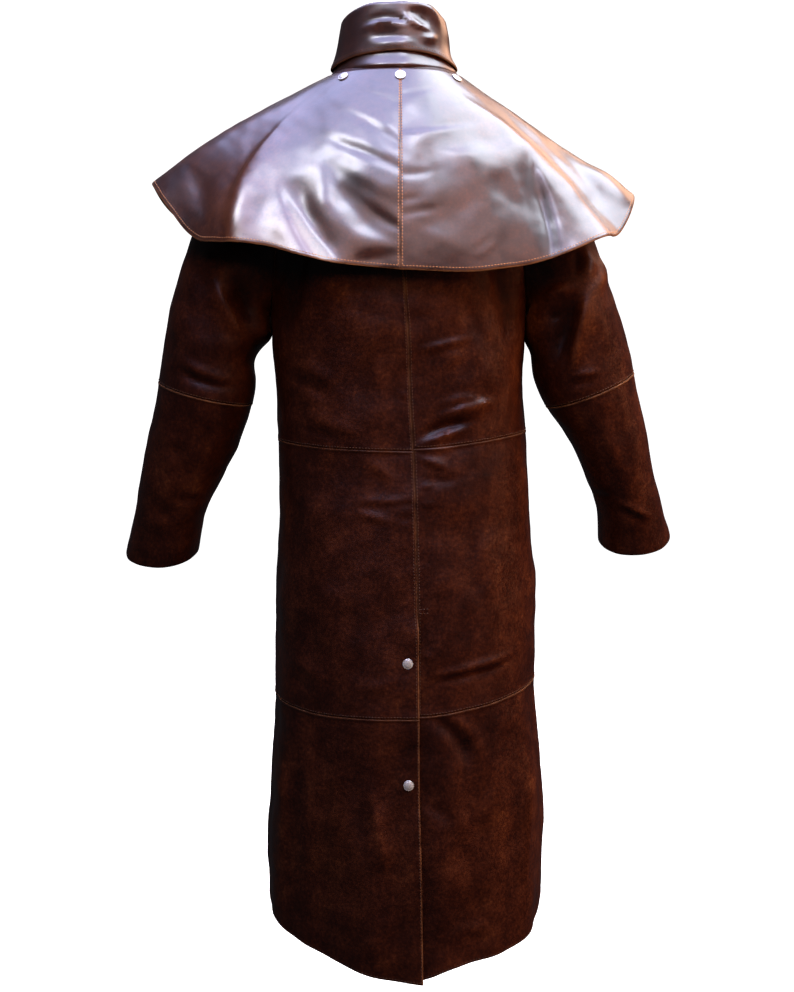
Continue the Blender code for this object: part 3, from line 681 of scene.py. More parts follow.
def calm(points):
    # 0 on a snap and 1 away from it, so that the leather lies flat where it is held
    keep = np.ones(points.shape[:-1])
    for centre, _ in snapPlaces.values():
        keep = keep * (1 - bell(np.linalg.norm(points - centre, axis=-1) / (bodyCut["snapCalm"] * mm)))
    return keep


def edgeRise(key, distance):
    # height x bell of the distance from the edge over its reach
    high, reach = bodyCut[key]
    return high * bell(distance / reach)


def centreEdge(part, side, angle, z, grid):
    # the panel's grid, its lift in mm beside the centre edge, and that edge's wear
    centre = fromEdges(grid)["first"]
    if part == "front" and side > 0:
        return grid, edgeRise("frontLift", centre), 0.7
    if part == "front":     # the right front lies under the left one
        deep = (hide["wall"] + hide["layerGap"]) * mm
        dive = 1 - ease((centre - 2 * bodyCut["frontLap"]) / bodyCut["frontRamp"])
        return grid - bodyOut(angle, z) * (deep * dive)[..., None], 0 * z, 0.35
    opened = ease((ventTop() - z) / (bodyCut["liftOver"] * mm))
    if side < 0:
        return grid, -opened * edgeRise("underDip", centre), 0.35
    heldShare, heldReach = bodyCut["flapHeld"]
    held = sum(bell((z / mm - snapZ) / heldReach) for snapZ in bodyCut["ventSnapsZ"])
    lift = edgeRise("flapLift", centre) * (1 - np.clip(held, 0, 1) * heldShare)
    return grid, opened * (lift + edgeRise("flapSwell", centre)), 0.30 + 0.38 * opened


def makePanel(tier, part, side, sideName):
    # one panel: its grid, the shapes of its four edges, and where its creases fade
    angle, z = panelGrid(tier, part, side)
    grid, lift, wearAndHighlightShare = centreEdge(part, side, angle, z, bodySurface(angle, z))
    # shape and share of the tan edge colour for each edge; on the lapped top edge that share is a painted
    # highlight along its raised lip
    edges = {
        "first": ("seam" if part == "back" and tier == "upper" else "turned", wearAndHighlightShare),
        "last": ("seam", 0.22),
        "top": ("seam", 0.0) if tier == "upper" else ("lap", 0.24),
        "bottom": ("turned", 0.35) if tier == "lower" else ("seam", 0.1),
    }
    fade = calm(grid)
    if tier == "upper":
        fade = fade * ease((-z / mm - bodyCut["calmFrom"]) / bodyCut["calmOver"])
        beside = ease(fromEdges(grid)["last"] / bodyCut["armholeCalm"])
        fade = fade * np.where(z / mm > bodyCut["armholeFoot"], beside, 1)
    if (side > 0) != (part == "back"):
        # columns run clockwise on every panel
        grid, lift, fade = grid[:, ::-1], lift[:, ::-1], fade[:, ::-1]
        edges["first"], edges["last"] = edges["last"], edges["first"]
    leatherPiece(f"{part}_{tier}_{sideName}", grid, edges, bodyCreases, bodyFrontCreases,
                 seed=10, fade=fade, lift=lift)


def makeBody():
    for tier in tiers:
        for side, sideName in sides:
            for part in ("back", "front"):
                makePanel(tier, part, side, sideName)
    print("body panels made")


ventCut = {
    "sewn": 12, "lap": 46,                          # reach under the right side and under the left flap
    "guideEnd": -1267.5, "lowest": -1266,           # end of the guide line, and limit of the strip's own hem
    "rows": 130, "columns": 20,
    "dipShare": 0.55, "dipAt": -4, "dipReach": 16,  # makes room for the dip of the right side
}


def makeVent():
    # strip behind the vent: the body's form moved in by one layer and the dip of the right side
    guide = np.linspace(ventTop(), ventCut["guideEnd"] * mm, ventCut["rows"])[:, None]
    across = np.linspace(-ventCut["sewn"], ventCut["lap"], ventCut["columns"])
    angle = seamAngle(guide) + across * mm / bodySize(2, guide)
    bottom = np.maximum(seamZ("hem", -1, angle), ventCut["lowest"] * mm)
    z = guide[0] + (bottom - guide[0]) * np.linspace(0, 1, len(guide))[:, None]
    dip = bodyCut["underDip"][0] * ventCut["dipShare"]
    deep = hide["wall"] + hide["layerGap"] + dip * bell((across - ventCut["dipAt"]) / ventCut["dipReach"])
    grid = bodySurface(angle, z) - bodyOut(angle, z) * (deep * mm)[..., None]
    leatherPiece("vent_underlap", grid, {"bottom": ("turned", 0.2), "last": ("turned", 0.2)},
                 bodyCreases, bodyFrontCreases, seed=10, fade=calm(grid))
    print("vent strip made")


# Sleeves: sections from the armhole to the cuff

sleeveCut = {
    # edge next to the body (x, z), edge away from it (x, z), middle depth, half depth, drop of the back
    "left": [
        (190, -378, 329, -318, 0, 70, 0), (211, -404, 338, -357, -1, 70, 2),
        (211, -436, 347, -398, -3, 69, 4), (218, -468, 354, -436, -5, 67, 7),
        (240, -526, 372, -508, -14, 60, 10), (266, -582, 387, -574, -27, 55, 13),
        (295, -638, 401, -640, -42, 51, 16), (308, -696, 418, -696, -57, 52, 19),
    ],
    "right": [
        (188, -384, 313, -328, 0, 70, 0), (191, -408, 323, -355, -1, 70, 2),
        (198, -438, 334, -389, -3, 69, 4), (215, -474, 342, -422, -5, 66, 7),
        (251, -528, 365, -510, -14, 58, 10), (278, -580, 380, -574, -27, 53, 13),
        (299, -630, 395, -624, -42, 50, 16), (307, -682, 412, -670, -57, 51, 19),
    ],
    # soft folds: side, place round (0 next to the body, 90 at the back), half width, row, half length, height
    "folds": [
        (1, 60, 40, 1.8, 0.7, 4), (1, 100, 50, 3.4, 0.6, -4), (1, 300, 45, 2.6, 0.8, -4),
        (-1, 120, 28, 0.8, 1.6, 6), (-1, 75, 24, 1.2, 1.4, -5), (-1, 300, 45, 2.6, 0.8, -4),
    ],
    "elbow": 4, "capReach": 0.4, "capSlope": 36, "foldsFrom": 0.8, "columns": 108,
    "rowSteps": [48, 10, 10, 9, 17, 16, 16, 14],
    "rowLength": 60, "elbowGap": 0.004, "elbowRows": 1.6, "cuffRows": 1.1,     # closer rows at elbow and cuff
    "calmRow": 0.3, "calmFrom": 0.12, "calmOver": 0.1, "calmLeast": 0.25,      # fewer creases at the shoulder
}
sleeveCreases = {"left": [
    (266, -282, 214, -390, 1, 9, 6.5, -0.45),       # fold down to the armpit
    (243, -279, 200, -372, 7, 19, -14, 0),
    (200, -318, 196, -388, 0, 11, 4, 0),            # fullness under the arm
    (285, -244, 266, -294, 6, 9, 2.6, 0),
    (333, -402, 215, -444, -14, 6, -2.6, 0),        # above the elbow seam
    (319, -393, 217, -433, -13, 7, 3.4, 0),
    (340, -422, 223, -457, -12, 7, 0.4, 0),
    (313, -304, 316, -385, -5, 12, 1.8, 0),
    (261, -319, 253, -405, -11, 10, -1.8, 0),
    (366, -522, 295, -536, -6, 10, -1.6, 0),
    (348, -492, 354, -640, 19, 14, 1.8, 0),
    (294, -602, 328, -607, 6, 7, -2, 0),
    (387, -642, 303, -636, -6, 8, 1.8, 0.2),
], "right": [
    (-191, -320, -253, -304, 3, 8, 6, 0),           # hooked fold
    (-266, -288, -236, -438, 2, 9, 9, 0.35),
    (-250, -298, -208, -432, 4, 13, -11, -0.2),
    (-205, -334, -233, -337, -7, 9, -5, 0),
    (-192, -305, -188, -402, 0, 13, 11, 0),         # fullness under the arm
    (-260, -249, -257, -300, 9, 7, 4, 0),
    (-244, -243, -246, -292, 4, 6, -3.5, 0),
    (-277, -252, -274, -314, 11, 9, 6, 0),
    (-237, -430, -289, -422, 1, 4.5, 3.4, 0.4),     # above the elbow seam
    (-231, -442, -286, -433, 0, 5, -2.6, 0),
    (-282, -335, -287, -413, 8, 12, 2, 0),
    (-291, -475, -324, -594, -2, 9, 2.4, 0),
    (-312, -469, -345, -594, 0, 9, -2, 0),
    (-307, -609, -380, -642, 1, 5, 3, 0.4),         # above the cuff
    (-308, -622, -374, -654, 3, 6, -2.4, 0),
    (-286, -597, -314, -607, -5, 6, -2.4, 0),
    (-252, -499, -293, -580, -3, 10, -1.8, 0),
]}
sleeveFrontCreases = {"left": [
    (200, -318, 196, -388, 0, 11, 4, 0),
    (225, -300, 320, -330, 8, 10, 4, 0),
    (230, -270, 245, -360, 6, 10, -4, 0),
    (222, -360, 330, -372, -8, 8, -4, 0),
    (226, -410, 338, -398, 8, 8, 4, 0),
    (228, -450, 345, -425, 8, 7, -3.4, 0),
    (250, -500, 355, -470, 6, 9, 3, 0),
    (270, -545, 365, -530, 5, 9, -2.4, 0),
    (300, -600, 385, -585, 5, 9, 2.4, 0),
    (310, -650, 395, -640, 5, 8, -2, 0),
], "right": [
    (-192, -305, -188, -402, 0, 13, 11, 0),
    (-215, -290, -300, -318, -8, 10, 4, 0),
    (-222, -262, -240, -350, 6, 10, -4, 0),
    (-210, -362, -315, -360, 8, 8, -4, 0),
    (-212, -412, -325, -385, -8, 8, 3.6, 0),
    (-222, -452, -332, -412, -8, 7, -3.4, 0),
    (-255, -505, -350, -462, -6, 9, 3, 0),
    (-275, -545, -362, -520, -5, 9, -2.4, 0),
    (-300, -590, -378, -578, -5, 9, 2.6, 0),
    (-312, -640, -392, -624, -5, 8, -2, 0),
]}


def sleeveSurface(side, u, v):
    # row v's oval; above row 1 a cubic from the armhole's own curve to the first oval
    rows = sleeveCut["left" if side > 0 else "right"]
    numbers = np.arange(1, len(rows) + 1)

    def section(u, v):
        sizes = (smoothBetween(v, numbers, column(rows, k)) * mm for k in range(7))
        inX, inZ, outX, outZ, midY, depth, drop = sizes
        swing = -np.cos(u)
        x = (inX + outX) / 2 + swing * (outX - inX) / 2
        z = (inZ + outZ) / 2 + swing * (outZ - inZ) / 2 - np.sin(u) * drop
        middle = np.stack([side * (inX + outX) / 2, midY, (inZ + outZ) / 2], -1)
        return np.stack([side * x, midY + np.sin(u) * depth, z], -1), middle

    u, v = np.broadcast_arrays(np.asarray(u, float), np.asarray(v, float))
    points, middle = section(u, np.maximum(v, 1))
    first, firstMiddle = section(u, np.ones_like(v))
    angle = side * (quarter - math.radians(bodyCut["armholeTurn"]) * np.sin(u))
    z = (bodyCut["armholeZ"] - bodyCut["armholeHalf"] * np.cos(u)) * mm
    slope = math.radians(sleeveCut["capSlope"])
    leave = np.array([side * math.cos(slope), 0, -math.sin(slope)])
    gap = hide["seamGap"] * mm
    start = bodySurface(angle, z) + bodyOut(angle, z) * gap + leave * gap
    length = np.linalg.norm(first - start, axis=-1, keepdims=True)
    arrive = unit(section(u, np.full_like(v, 1.1))[0] - first)      # the way on from row 1
    t = np.clip(v, 0, 1)[..., None]
    bendOut = start + leave * length * sleeveCut["capReach"]
    bendIn = first - arrive * length * sleeveCut["capReach"]
    cap = (1 - t) ** 3 * start + 3 * t * (1 - t) ** 2 * bendOut
    cap = cap + 3 * t ** 2 * (1 - t) * bendIn + t ** 3 * first
    upper = v[..., None] < 1
    points = np.where(upper, cap, points)
    swell = np.zeros_like(v)
    for foldSide, around, width, row, reach, height in sleeveCut["folds"]:
        if foldSide == side:
            away = np.remainder(np.degrees(u) - around + 180, 360) - 180
            swell = swell + height * mm * hump(away / width) * hump((v - row) / reach)
    swell = swell * ease(v / sleeveCut["foldsFrom"])
    return points + unit(points - np.where(upper, firstMiddle, middle)) * swell[..., None]


def makeSleeves():
    # each sleeve's surface at its own rows, split at the elbow seam
    elbow, cuff, gap = sleeveCut["elbow"], len(sleeveCut["rowSteps"]), sleeveCut["elbowGap"]
    rows = [k + np.linspace(0, 1, n + 1)[:-1] for k, n in enumerate(sleeveCut["rowSteps"])]
    near = np.array(hide["edgeSteps"][1:4]) / sleeveCut["rowLength"]
    along = {
        "upper": [*rows[:elbow], elbow - gap - near * sleeveCut["elbowRows"], [elbow - gap]],
        "lower": [[elbow + gap], elbow + gap + near, rows[elbow][1:], *rows[elbow + 1:],
                  cuff - near * sleeveCut["cuffRows"], [cuff]],
    }
    # on the lapped elbow edge the tan share is partly wear and partly a painted highlight along its raised
    # lip
    edges = {
        "upper": {"top": ("seam", 0.15), "bottom": ("seam", 0.1)},
        "lower": {"top": ("lap", 0.85), "bottom": ("turned", 0.3)},
    }
    least = sleeveCut["calmLeast"]
    for side, sideName in sides:
        around = np.linspace(0, 2 * math.pi, sleeveCut["columns"] + 1)[:-1][::side]
        for part in ("upper", "lower"):
            u, v = np.meshgrid(around, np.unique(np.concatenate(along[part])))
            grid = sleeveSurface(side, u, v)
            below = ease((-grid[..., 2] - sleeveCut["calmFrom"]) / sleeveCut["calmOver"])
            fade = ease(v / sleeveCut["calmRow"]) * (least + (1 - least) * below)
            leatherPiece(f"sleeve_{part}_{sideName}", grid, edges[part], sleeveCreases[sideName],
                         sleeveFrontCreases[sideName], seed=40 + side, closed=True, fade=fade)
    print("sleeves made")


# Collar: a stand round the neck and a fall rolled over its top edge

collarCut = {
    "sections": [(0, 97, 80, 80, 88), (22, 89, 68, 77, 84), (52, 83, 64, 73, 80), (83, 77, 58, 70, 76)],
    "seamZ": -4.0, "standTurn": 171, "fallTurn": 166,
    "fallEdge": [(0, 19), (40, 15), (75, 7), (120, 6), (170, 4)],     # angle, z of the lower edge
    "roll": [(-1.5, 1.9), (0.4, 1.9), (2.4, 1.2), (3.6, -1.4)],       # away from the stand, above its top
    "standOff": 5.0, "sideDrop": 12, "dropFrom": 22, "dropOver": 55,    # the top line falls to the sides
    "standAround": 480, "standDown": 82, "fallAround": 470, "fallDown": 66, "rollRows": 13,
}
standCreases = [
    (85, -2, -70, -2, 0, 10, 5.5, 0),               # flare at its foot
]
fallCreases = [
    (60, 54, -22, 50, 11, 5, -3.5, 0),              # dark arch and the pale one below it
    (62, 46, -24, 47, 9, 5, 4, 0),
    (50, 38, -6, 41, 1, 4, -2.6, 0),
    (45, 32, -24, 37, 1, 4, -2.2, 0),
    (52, 27, -28, 28, 1, 5, 2.4, 0),
    (2, 70, -48, 45, -4, 4.5, 5, 0),                # swirl on the right
    (-8, 76, -40, 54, 3, 5, -5, 0),
    (-14, 82, -56, 48, 12, 6, 4, 0),
    (-22, 42, -54, 44, -7, 5, 4.5, 0),
]
fallFrontCreases = [
    (62, 60, 20, 40, 3, 4, 2, 0),
    (-20, 45, -52, 60, 3, 4, -2, 0),
]


def standSurface(angle, z):
    # plain oval with the half axes of its height
    sizes = (fromTable(z / mm, collarCut["sections"], k) * mm for k in (1, 2, 3, 4))
    x, y = oval(angle, *sizes, 2.0)
    return np.stack([x, y, np.broadcast_to(z, x.shape)], -1)


def collarTop(angle):
    # height of the top line: level at the back, eased down to the sides
    fall = ease((np.abs(np.degrees(angle)) - collarCut["dropFrom"]) / collarCut["dropOver"])
    return collarCut["sections"][-1][0] - collarCut["sideDrop"] * fall


def makeStand():
    # rows at even shares from the top line down to the neck seam
    around = (2 * shares(collarCut["standAround"]) - 1) * math.radians(collarCut["standTurn"])
    top = collarTop(around)
    z = top - (top - collarCut["seamZ"]) * shares(collarCut["standDown"])[:, None]
    edges = {"top": ("turned", 0.2), "bottom": ("seam", 0.2),
             "first": ("turned", 0.4), "last": ("turned", 0.4)}
    leatherPiece("collar_stand", standSurface(np.broadcast_to(around, z.shape), z * mm), edges,
                 standCreases, [], crumple=0.45, seed=60, floor=-0.8, polish=0.9)


def makeFall(tiny=1e-4):
    # distance from the stand and height, row by row, from the roll to the lower edge
    around = (2 * shares(collarCut["fallAround"]) - 1) * math.radians(collarCut["fallTurn"])
    top = collarTop(around)
    edge = fromTable(np.abs(np.degrees(around)), collarCut["fallEdge"], 1)
    rollOut, rollUp = column(collarCut["roll"], 0), column(collarCut["roll"], 1)
    rollAt = np.arange(len(rollOut))
    rollRow = np.linspace(0, rollAt[-1], collarCut["rollRows"])[:, None] + 0 * edge
    leaf = shares(collarCut["fallDown"])[1:, None] + 0 * edge
    away = np.concatenate([smoothBetween(rollRow, rollAt, rollOut),
                           rollOut[-1] + (collarCut["standOff"] - rollOut[-1]) * leaf])
    leafTop = top + rollUp[-1]
    height = np.concatenate([top + smoothBetween(rollRow, rollAt, rollUp), leafTop + (edge - leafTop) * leaf])
    level = np.minimum(height, top) * mm
    angle = np.broadcast_to(around, level.shape)
    across = standSurface(angle + tiny, level) - standSurface(angle - tiny, level)
    flat = unit(np.cross(across, np.array([0, 0, -1.0])))
    grid = standSurface(angle, level) + flat * (away * mm)[..., None]
    grid[..., 2] = height * mm
    edges = {"bottom": ("turned", 0.6), "first": ("turned", 0.4), "last": ("turned", 0.4)}
    leatherPiece("collar_fall", grid, edges, fallCreases, fallFrontCreases,
                 crumple=0.55, seed=70, lift=1.2, floor=-3.0, polish=0.9)


# Cape: two halves from the neck to a scalloped hem

capeCut = {
    "left": 357, "right": 337, "back": 166, "front": 176, "square": 2.3,
    "neckZ": -7, "neckGap": 0.7, "crownLeft": 7, "crownRight": 1, "crownBack": 22,
    "end": 166, "corner": 20, "cornerRise": 0.22,
    # angle, then the hem's height on the left and on the right
    "hem": [
        (0, -283, -283), (19, -269, -284), (29, -252, -274), (40, -251, -260), (45, -248, -253),
        (50, -235, -246), (61, -193, -229), (75, -159, -188), (90, -156, -168), (110, -186, -196),
        (135, -244, -248), (170, -276, -276),
    ],
    # hanging folds: angle, half width, height at the hem
    "folds": [(27, 9, -5), (42, 9, 6), (58, 9, -5), (-30, 9, -6), (-47, 10, 7), (-64, 9, -4),
              (120, 12, 6), (144, 12, -5), (-120, 12, 6), (-144, 12, -5)],
    "snaps": {"neck_left": 41, "neck_back": 0, "neck_right": -50, "cape_left": 161, "cape_right": -161},
    "snapDown": 0.045, "aroundLength": 620, "downLength": 300, "pitch": 3.6, "neckRadius": 80,
    "calmFrom": 0.04, "calmOver": 0.22, "calmLeast": 0.1,       # fewer creases at the neck
}
capeCreases = {"left": [
    (265, -272, 20, -318, 0, 50, 18, 0),            # flare along the hem
    (120, -40, 222, -345, -42, 22, 6, 0.6),         # fold where the left side turns away
    (112, -30, 226, -360, -42, 60, 9, -0.25),
    (300, -232, 90, -250, 0, 80, 6, 0),             # swell above the hem beside it
    (169, -160, 65, -320, -14, 24, 9, -0.55),       # hanging ridge
    (140, -149, 60, -300, -13, 12, -1.6, 0),
    (105, -112, -20, -256, -24, 22, -4.6, 0.2),     # crease with the ridge below it
    (118, -140, -25, -262, -42, 24, 3.4, 0),
    (128, -84, -30, -146, 3, 9, 0.6, 0),            # drag lines to the centre seam
    (112, -103, -30, -166, 4, 7, -1.5, 0),
    (92, -48, -25, -118, 4, 9, 0.7, 0),
    (80, -64, -25, -139, 4, 7, -1.6, 0),
    (88, -147, -30, -208, -7, 9, -1.0, 0),
    (67, -177, -25, -240, -6, 7, -1.6, 0),
    (81, -276, -25, -254, -1, 9, -1.5, 0),
    (63, -35, -25, -69, 1, 4.5, -1.4, 0),
    (58, -21, -25, -42, 0, 4, -1.2, 0),
    (299, -131, 256, -236, 7, 14, -2.4, 0),         # folds of the left facet
], "right": [
    (40, -106, -125, -84, -4, 16, 2.6, -0.7),       # step across the right half
    (-36, -19, -322, -308, 31, 20, 8, -0.5),        # ridge down to the right tip
    (-169, -57, -299, -207, 12, 11, -4, 0),
    (-262, -118, -330, -192, -1, 14, 5, 0),
    (-40, -123, -190, -101, -19, 30, 5, -0.5),      # shelf over the lower part
    (-160, -104, -211, -300, 10, 14, -7, -0.45),    # trough beside the ridge
    (-114, -141, -173, -216, -3, 12, -1.2, 0),
    (-142, -144, -175, -204, 2, 7, 0.6, 0),
    (12, -158, -50, -151, -1, 6, -0.9, 0),          # short drag lines
    (5, -191, -34, -187, 0, 5, -0.7, 0),
    (12, -211, -68, -197, -1, 6, -1.1, 0),
    (25, -50, -68, -27, -2, 4, -1.3, 0),
    (-92, -263, -124, -233, -1, 4, -0.6, 0),
    (-101, -269, -136, -241, 1, 4, 0.6, 0),
    (-17, -228, -99, -271, 7, 12, 1.0, 0),
    (-190, -290, -330, -240, 0, 44, 11, 0),         # flare below the ridge
]}
capeFrontCreases = [
    (60, -60, 95, -250, 5, 10, 4, 0),
    (110, -70, 180, -235, 8, 10, -4, 0),
    (40, -60, 50, -265, 3, 9, -3, 0),
    (160, -80, 250, -205, 6, 10, 4, 0),
    (-55, -60, -90, -250, -5, 10, 4, 0),
    (-105, -70, -170, -235, -8, 10, -4, 0),
    (-38, -60, -46, -265, 3, 9, -3, 0),
    (-155, -80, -240, -205, -6, 10, 4, 0),
]


def capeSurface(angle, share):
    # bowed line from a point above the coat's neck to a point of the hem, lifted by the hanging folds
    angle, share = np.broadcast_arrays(np.asarray(angle, float), np.asarray(share, float))
    neckZ = np.full_like(angle, capeCut["neckZ"] * mm)
    neck = bodySurface(angle, neckZ) + bodyOut(angle, neckZ) * (capeCut["neckGap"] + hide["wall"]) * mm
    x, y = oval(angle, *(capeCut[key] * mm for key in ("left", "right", "back", "front")), capeCut["square"])
    turn = np.degrees(angle)
    left, right = (fromTable(np.abs(turn), capeCut["hem"], k) for k in (1, 2))
    hem = np.stack([x, y, np.where(turn >= 0, left, right) * mm], -1)
    sideCrown = np.where(turn >= 0, capeCut["crownLeft"], capeCut["crownRight"])
    crown = (sideCrown + (capeCut["crownBack"] - sideCrown) * np.cos(angle) ** 2) * mm
    out = hem - neck
    flat = unit(np.stack([x, y, np.zeros_like(x)], -1))
    run = np.sum(out * flat, -1)
    length = np.hypot(run, out[..., 2])
    up = flat * (-out[..., 2] / length)[..., None] + np.array([0, 0, 1]) * (run / length)[..., None]
    bend = (neck + hem) / 2 + up * (2 * crown)[..., None]
    s = share[..., None]
    point = (1 - s) ** 2 * neck + 2 * s * (1 - s) * bend + s ** 2 * hem
    swell = np.zeros_like(angle)
    for foldTurn, width, height in capeCut["folds"]:
        swell = swell + height * mm * hump((turn - foldTurn) / width)
    return point + up * (swell * share ** 2)[..., None]


def capeOut(angle, share, tiny=1e-4):
    # outward normal, as for the body
    across = capeSurface(angle + tiny, share) - capeSurface(angle - tiny, share)
    down = capeSurface(angle, share + tiny) - capeSurface(angle, share - tiny)
    return unit(np.cross(across, down))


for snapName, degrees in capeCut["snaps"].items():
    where = np.array(math.radians(degrees)), np.array(capeCut["snapDown"])
    snapPlaces[f"snap_{snapName}"] = capeSurface(*where), capeOut(*where)


def makeCape():
    # shares from neck to hem, from the centre seam round to the front end of each half
    end = math.radians(capeCut["end"])
    corner = math.radians(capeCut["corner"])
    first = hide["seamGap"] / 2 / capeCut["neckRadius"]
    around = first + (end - first) * shares(capeCut["aroundLength"], capeCut["pitch"])
    turned = np.clip((around - (end - corner)) / corner, 0, 1)
    last = 1 - capeCut["cornerRise"] * (1 - np.sqrt(1 - turned ** 2))       # rounded front corner
    least = capeCut["calmLeast"]
    for side, sideName in sides:
        share = shares(capeCut["downLength"], capeCut["pitch"])[:, None] * last
        angle = np.broadcast_to(around * side, share.shape)
        centre, front = ("first", "last") if side > 0 else ("last", "first")
        if side < 0:
            angle, share = angle[:, ::-1], share[:, ::-1]
        edges = {centre: ("flat", 0.8), front: ("turned", 0.5),
                 "top": ("turned", 0.2), "bottom": ("turned", 1.5)}
        grid = capeSurface(angle, share)
        below = ease((share - capeCut["calmFrom"]) / capeCut["calmOver"])
        leatherPiece(f"cape_{sideName}", grid, edges, capeCreases[sideName], capeFrontCreases, seed=80,
                     crumple=0.7, polish=1.0, fade=calm(grid) * (least + (1 - least) * below))
    print("cape made")


# Press snaps: a turned profile, one on each CAD snap

snapCut = {
    # radius and height of the cap: soft dome, fine groove, rolled rim, skirt
    "profile": [(0.032, 2.75), (1.6, 2.7), (3.2, 2.5), (4.6, 2.15), (5.6, 1.75), (6.0, 1.5), (6.3, 1.5),
                (6.8, 1.55), (7.25, 1.3), (7.5, 0.85), (7.5, 0.3), (7.2, 0.0), (3.5, 0.0), (0.032, 0.0)],
    "steps": 40, "seat": 0.4,
}


def makeSnaps():
    # the profile turned about each snap's own way out, and set on the leather
    steps = snapCut["steps"]
    ring = lathe(np.array(snapCut["profile"]) * mm, steps)
    index, quads = gridFaces(*ring.shape[:2], closed=True)
    lid = np.arange(steps // 2 - 1)
    caps = np.stack([lid, lid + 1, steps - 2 - lid, steps - 1 - lid], -1)   # close the first and last ring
    quads = np.concatenate([quads, caps[:, ::-1], caps + index[-1, 0]])
    for name, (centre, out) in snapPlaces.items():
        sideways = unit(np.cross(np.array([0.0, 0.2, 1.0]), out))
        axes = np.stack([sideways, np.cross(out, sideways), out])
        points = ring.reshape(-1, 3) @ axes + centre + out * snapCut["seat"] * mm
        item = meshObject(name + "_cap", points, quads, [metal], sharp=60)
        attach(item, "root")
        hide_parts(name)
    print("snaps made")


# Stitching: rows of short thread bars on the finished leather

stitchCut = {
    "pitch": 4.4, "length": 3.5, "height": 0.6, "tackLength": 22,
    "halfWidth": {"body": 0.55, "sleeve": 0.55, "cape": 0.8, "collar": 0.55},
    # how pale the thread is in each group: low on the dimly lit body, sleeves and collar as painted shade,
    # high on the lit cape
    "pale": {"body": 0.16, "sleeve": 0.22, "cape": 1.5, "collar": 0.4},
    # piece names, edge and distance from it
    "body": [(f"{part}_{tier}_{side}", "bottom", 3.2) for part in ("back", "front") for _, side in sides
             for tier in tiers]
            + [(f"back_{tier}_left", "first", 3.0) for tier in tiers]
            + [("back_upper_right", "last", 3.0), ("back_mid_right", "last", 3.0)]
            + [(f"front_{tier}_left", "last", 5.2) for tier in tiers]
            + [("back_mid_right", "tack", shift) for shift in (-0.9, 0.9)],      # bar tack above the vent
    "sleeve": [(f"sleeve_upper_{side}", "bottom", 3.2) for _, side in sides],
    "cape": [("cape_left", "first", 2.6), ("cape_right", "last", 2.6), ("cape_left", "bottom", 5.2),
             ("cape_right", "bottom", 5.2), ("cape_left", "last", 5.2), ("cape_right", "first", 5.2)],
    "collar": [("collar_fall", edge, 5.2) for edge in ("bottom", "first", "last")],
}


def seamPath(node, edge, distance):
    # the grid line nearest to a distance from an edge
    piece = placed[node]
    if edge == "tack":
        k = np.abs(piece["outer"][:, -1, 2] - ventTop() - distance * mm).argmin()
        near = piece["distance"]["last"][k] < stitchCut["tackLength"]
        return piece["outer"][k, near] + np.array([0, 0, distance * mm]), piece["out"][k, near]
    if edge in ("top", "bottom"):
        k = np.abs(piece["distance"][edge].mean(1) - distance).argmin()
        return piece["outer"][k], piece["out"][k]
    k = np.abs(piece["distance"][edge].mean(0) - distance).argmin()
    return piece["outer"][:, k], piece["out"][:, k]


def makeStitches(group):
    # thread bars at even steps along each path, turned to its direction and normal
    pitch, length = stitchCut["pitch"] * mm, stitchCut["length"] * mm
    wide, high = stitchCut["halfWidth"][group] * mm, stitchCut["height"] * mm
    places, axes = [], []
    for node, edge, distance in stitchCut[group]:
        path, out = seamPath(node, edge, distance)
        run = np.concatenate([[0], np.cumsum(np.linalg.norm(np.diff(path, axis=0), axis=-1))])
        at = np.arange(pitch, run[-1] - pitch, pitch)
        centre, ahead, normal = (np.stack([np.interp(x, run, values[:, k]) for k in range(3)], -1)
                                 for x, values in ((at, path), (at + 0.3 * pitch, path), (at, out)))
        along = unit(ahead - centre)
        normal = unit(normal - along * np.sum(normal * along, -1, keepdims=True))
        places.append(centre)
        axes.append(np.stack([along, np.cross(normal, along), normal], 1))
    places, axes = np.concatenate(places), np.concatenate(axes)
    # one bar: three rings of four points, its ends small and sunk into the leather
    ringAt = np.array([[-0.5, 0.45, -0.35], [0, 1, 0.15], [0.5, 0.45, -0.35]])
    corner = np.array([[-1, -0.6], [1, -0.6], [0.75, 1], [-0.75, 1]])
    bar = np.stack([np.repeat(ringAt[:, 0], 4) * length,
                    (ringAt[:, 1:2] * corner[:, 0]).ravel() * wide,
                    (ringAt[:, 2:3] + ringAt[:, 1:2] * corner[:, 1] * 0.5).ravel() * high], -1)
    side = np.arange(4)
    loop = np.stack([side, (side + 1) % 4, (side + 1) % 4 + 4, side + 4], -1)
    faces = np.concatenate([loop, loop + 4, [[3, 2, 1, 0], [8, 9, 10, 11]]])
    points = np.einsum("pk,nkj->npj", bar, axes) + places[:, None]
    quads = faces[None] + 12 * np.arange(len(places))[:, None, None]
    points, quads = points.reshape(-1, 3), quads.reshape(-1, 4)
    item = meshObject(f"{group}_stitching", points, quads, [thread], sharp=80)
    layer = item.data.attributes.new("pale", "FLOAT", "POINT")
    layer.data.foreach_set("value", np.full(len(points), stitchCut["pale"][group], np.float32))
    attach(item, "root")
    return item


makeBody()
makeVent()
makeSleeves()
makeStand()
makeFall()
print("collar made")
makeCape()
makeSnaps()
stitching = {group: makeStitches(group) for group in ("body", "sleeve", "cape", "collar")}
print("stitching made")
# Stage, lights and camera

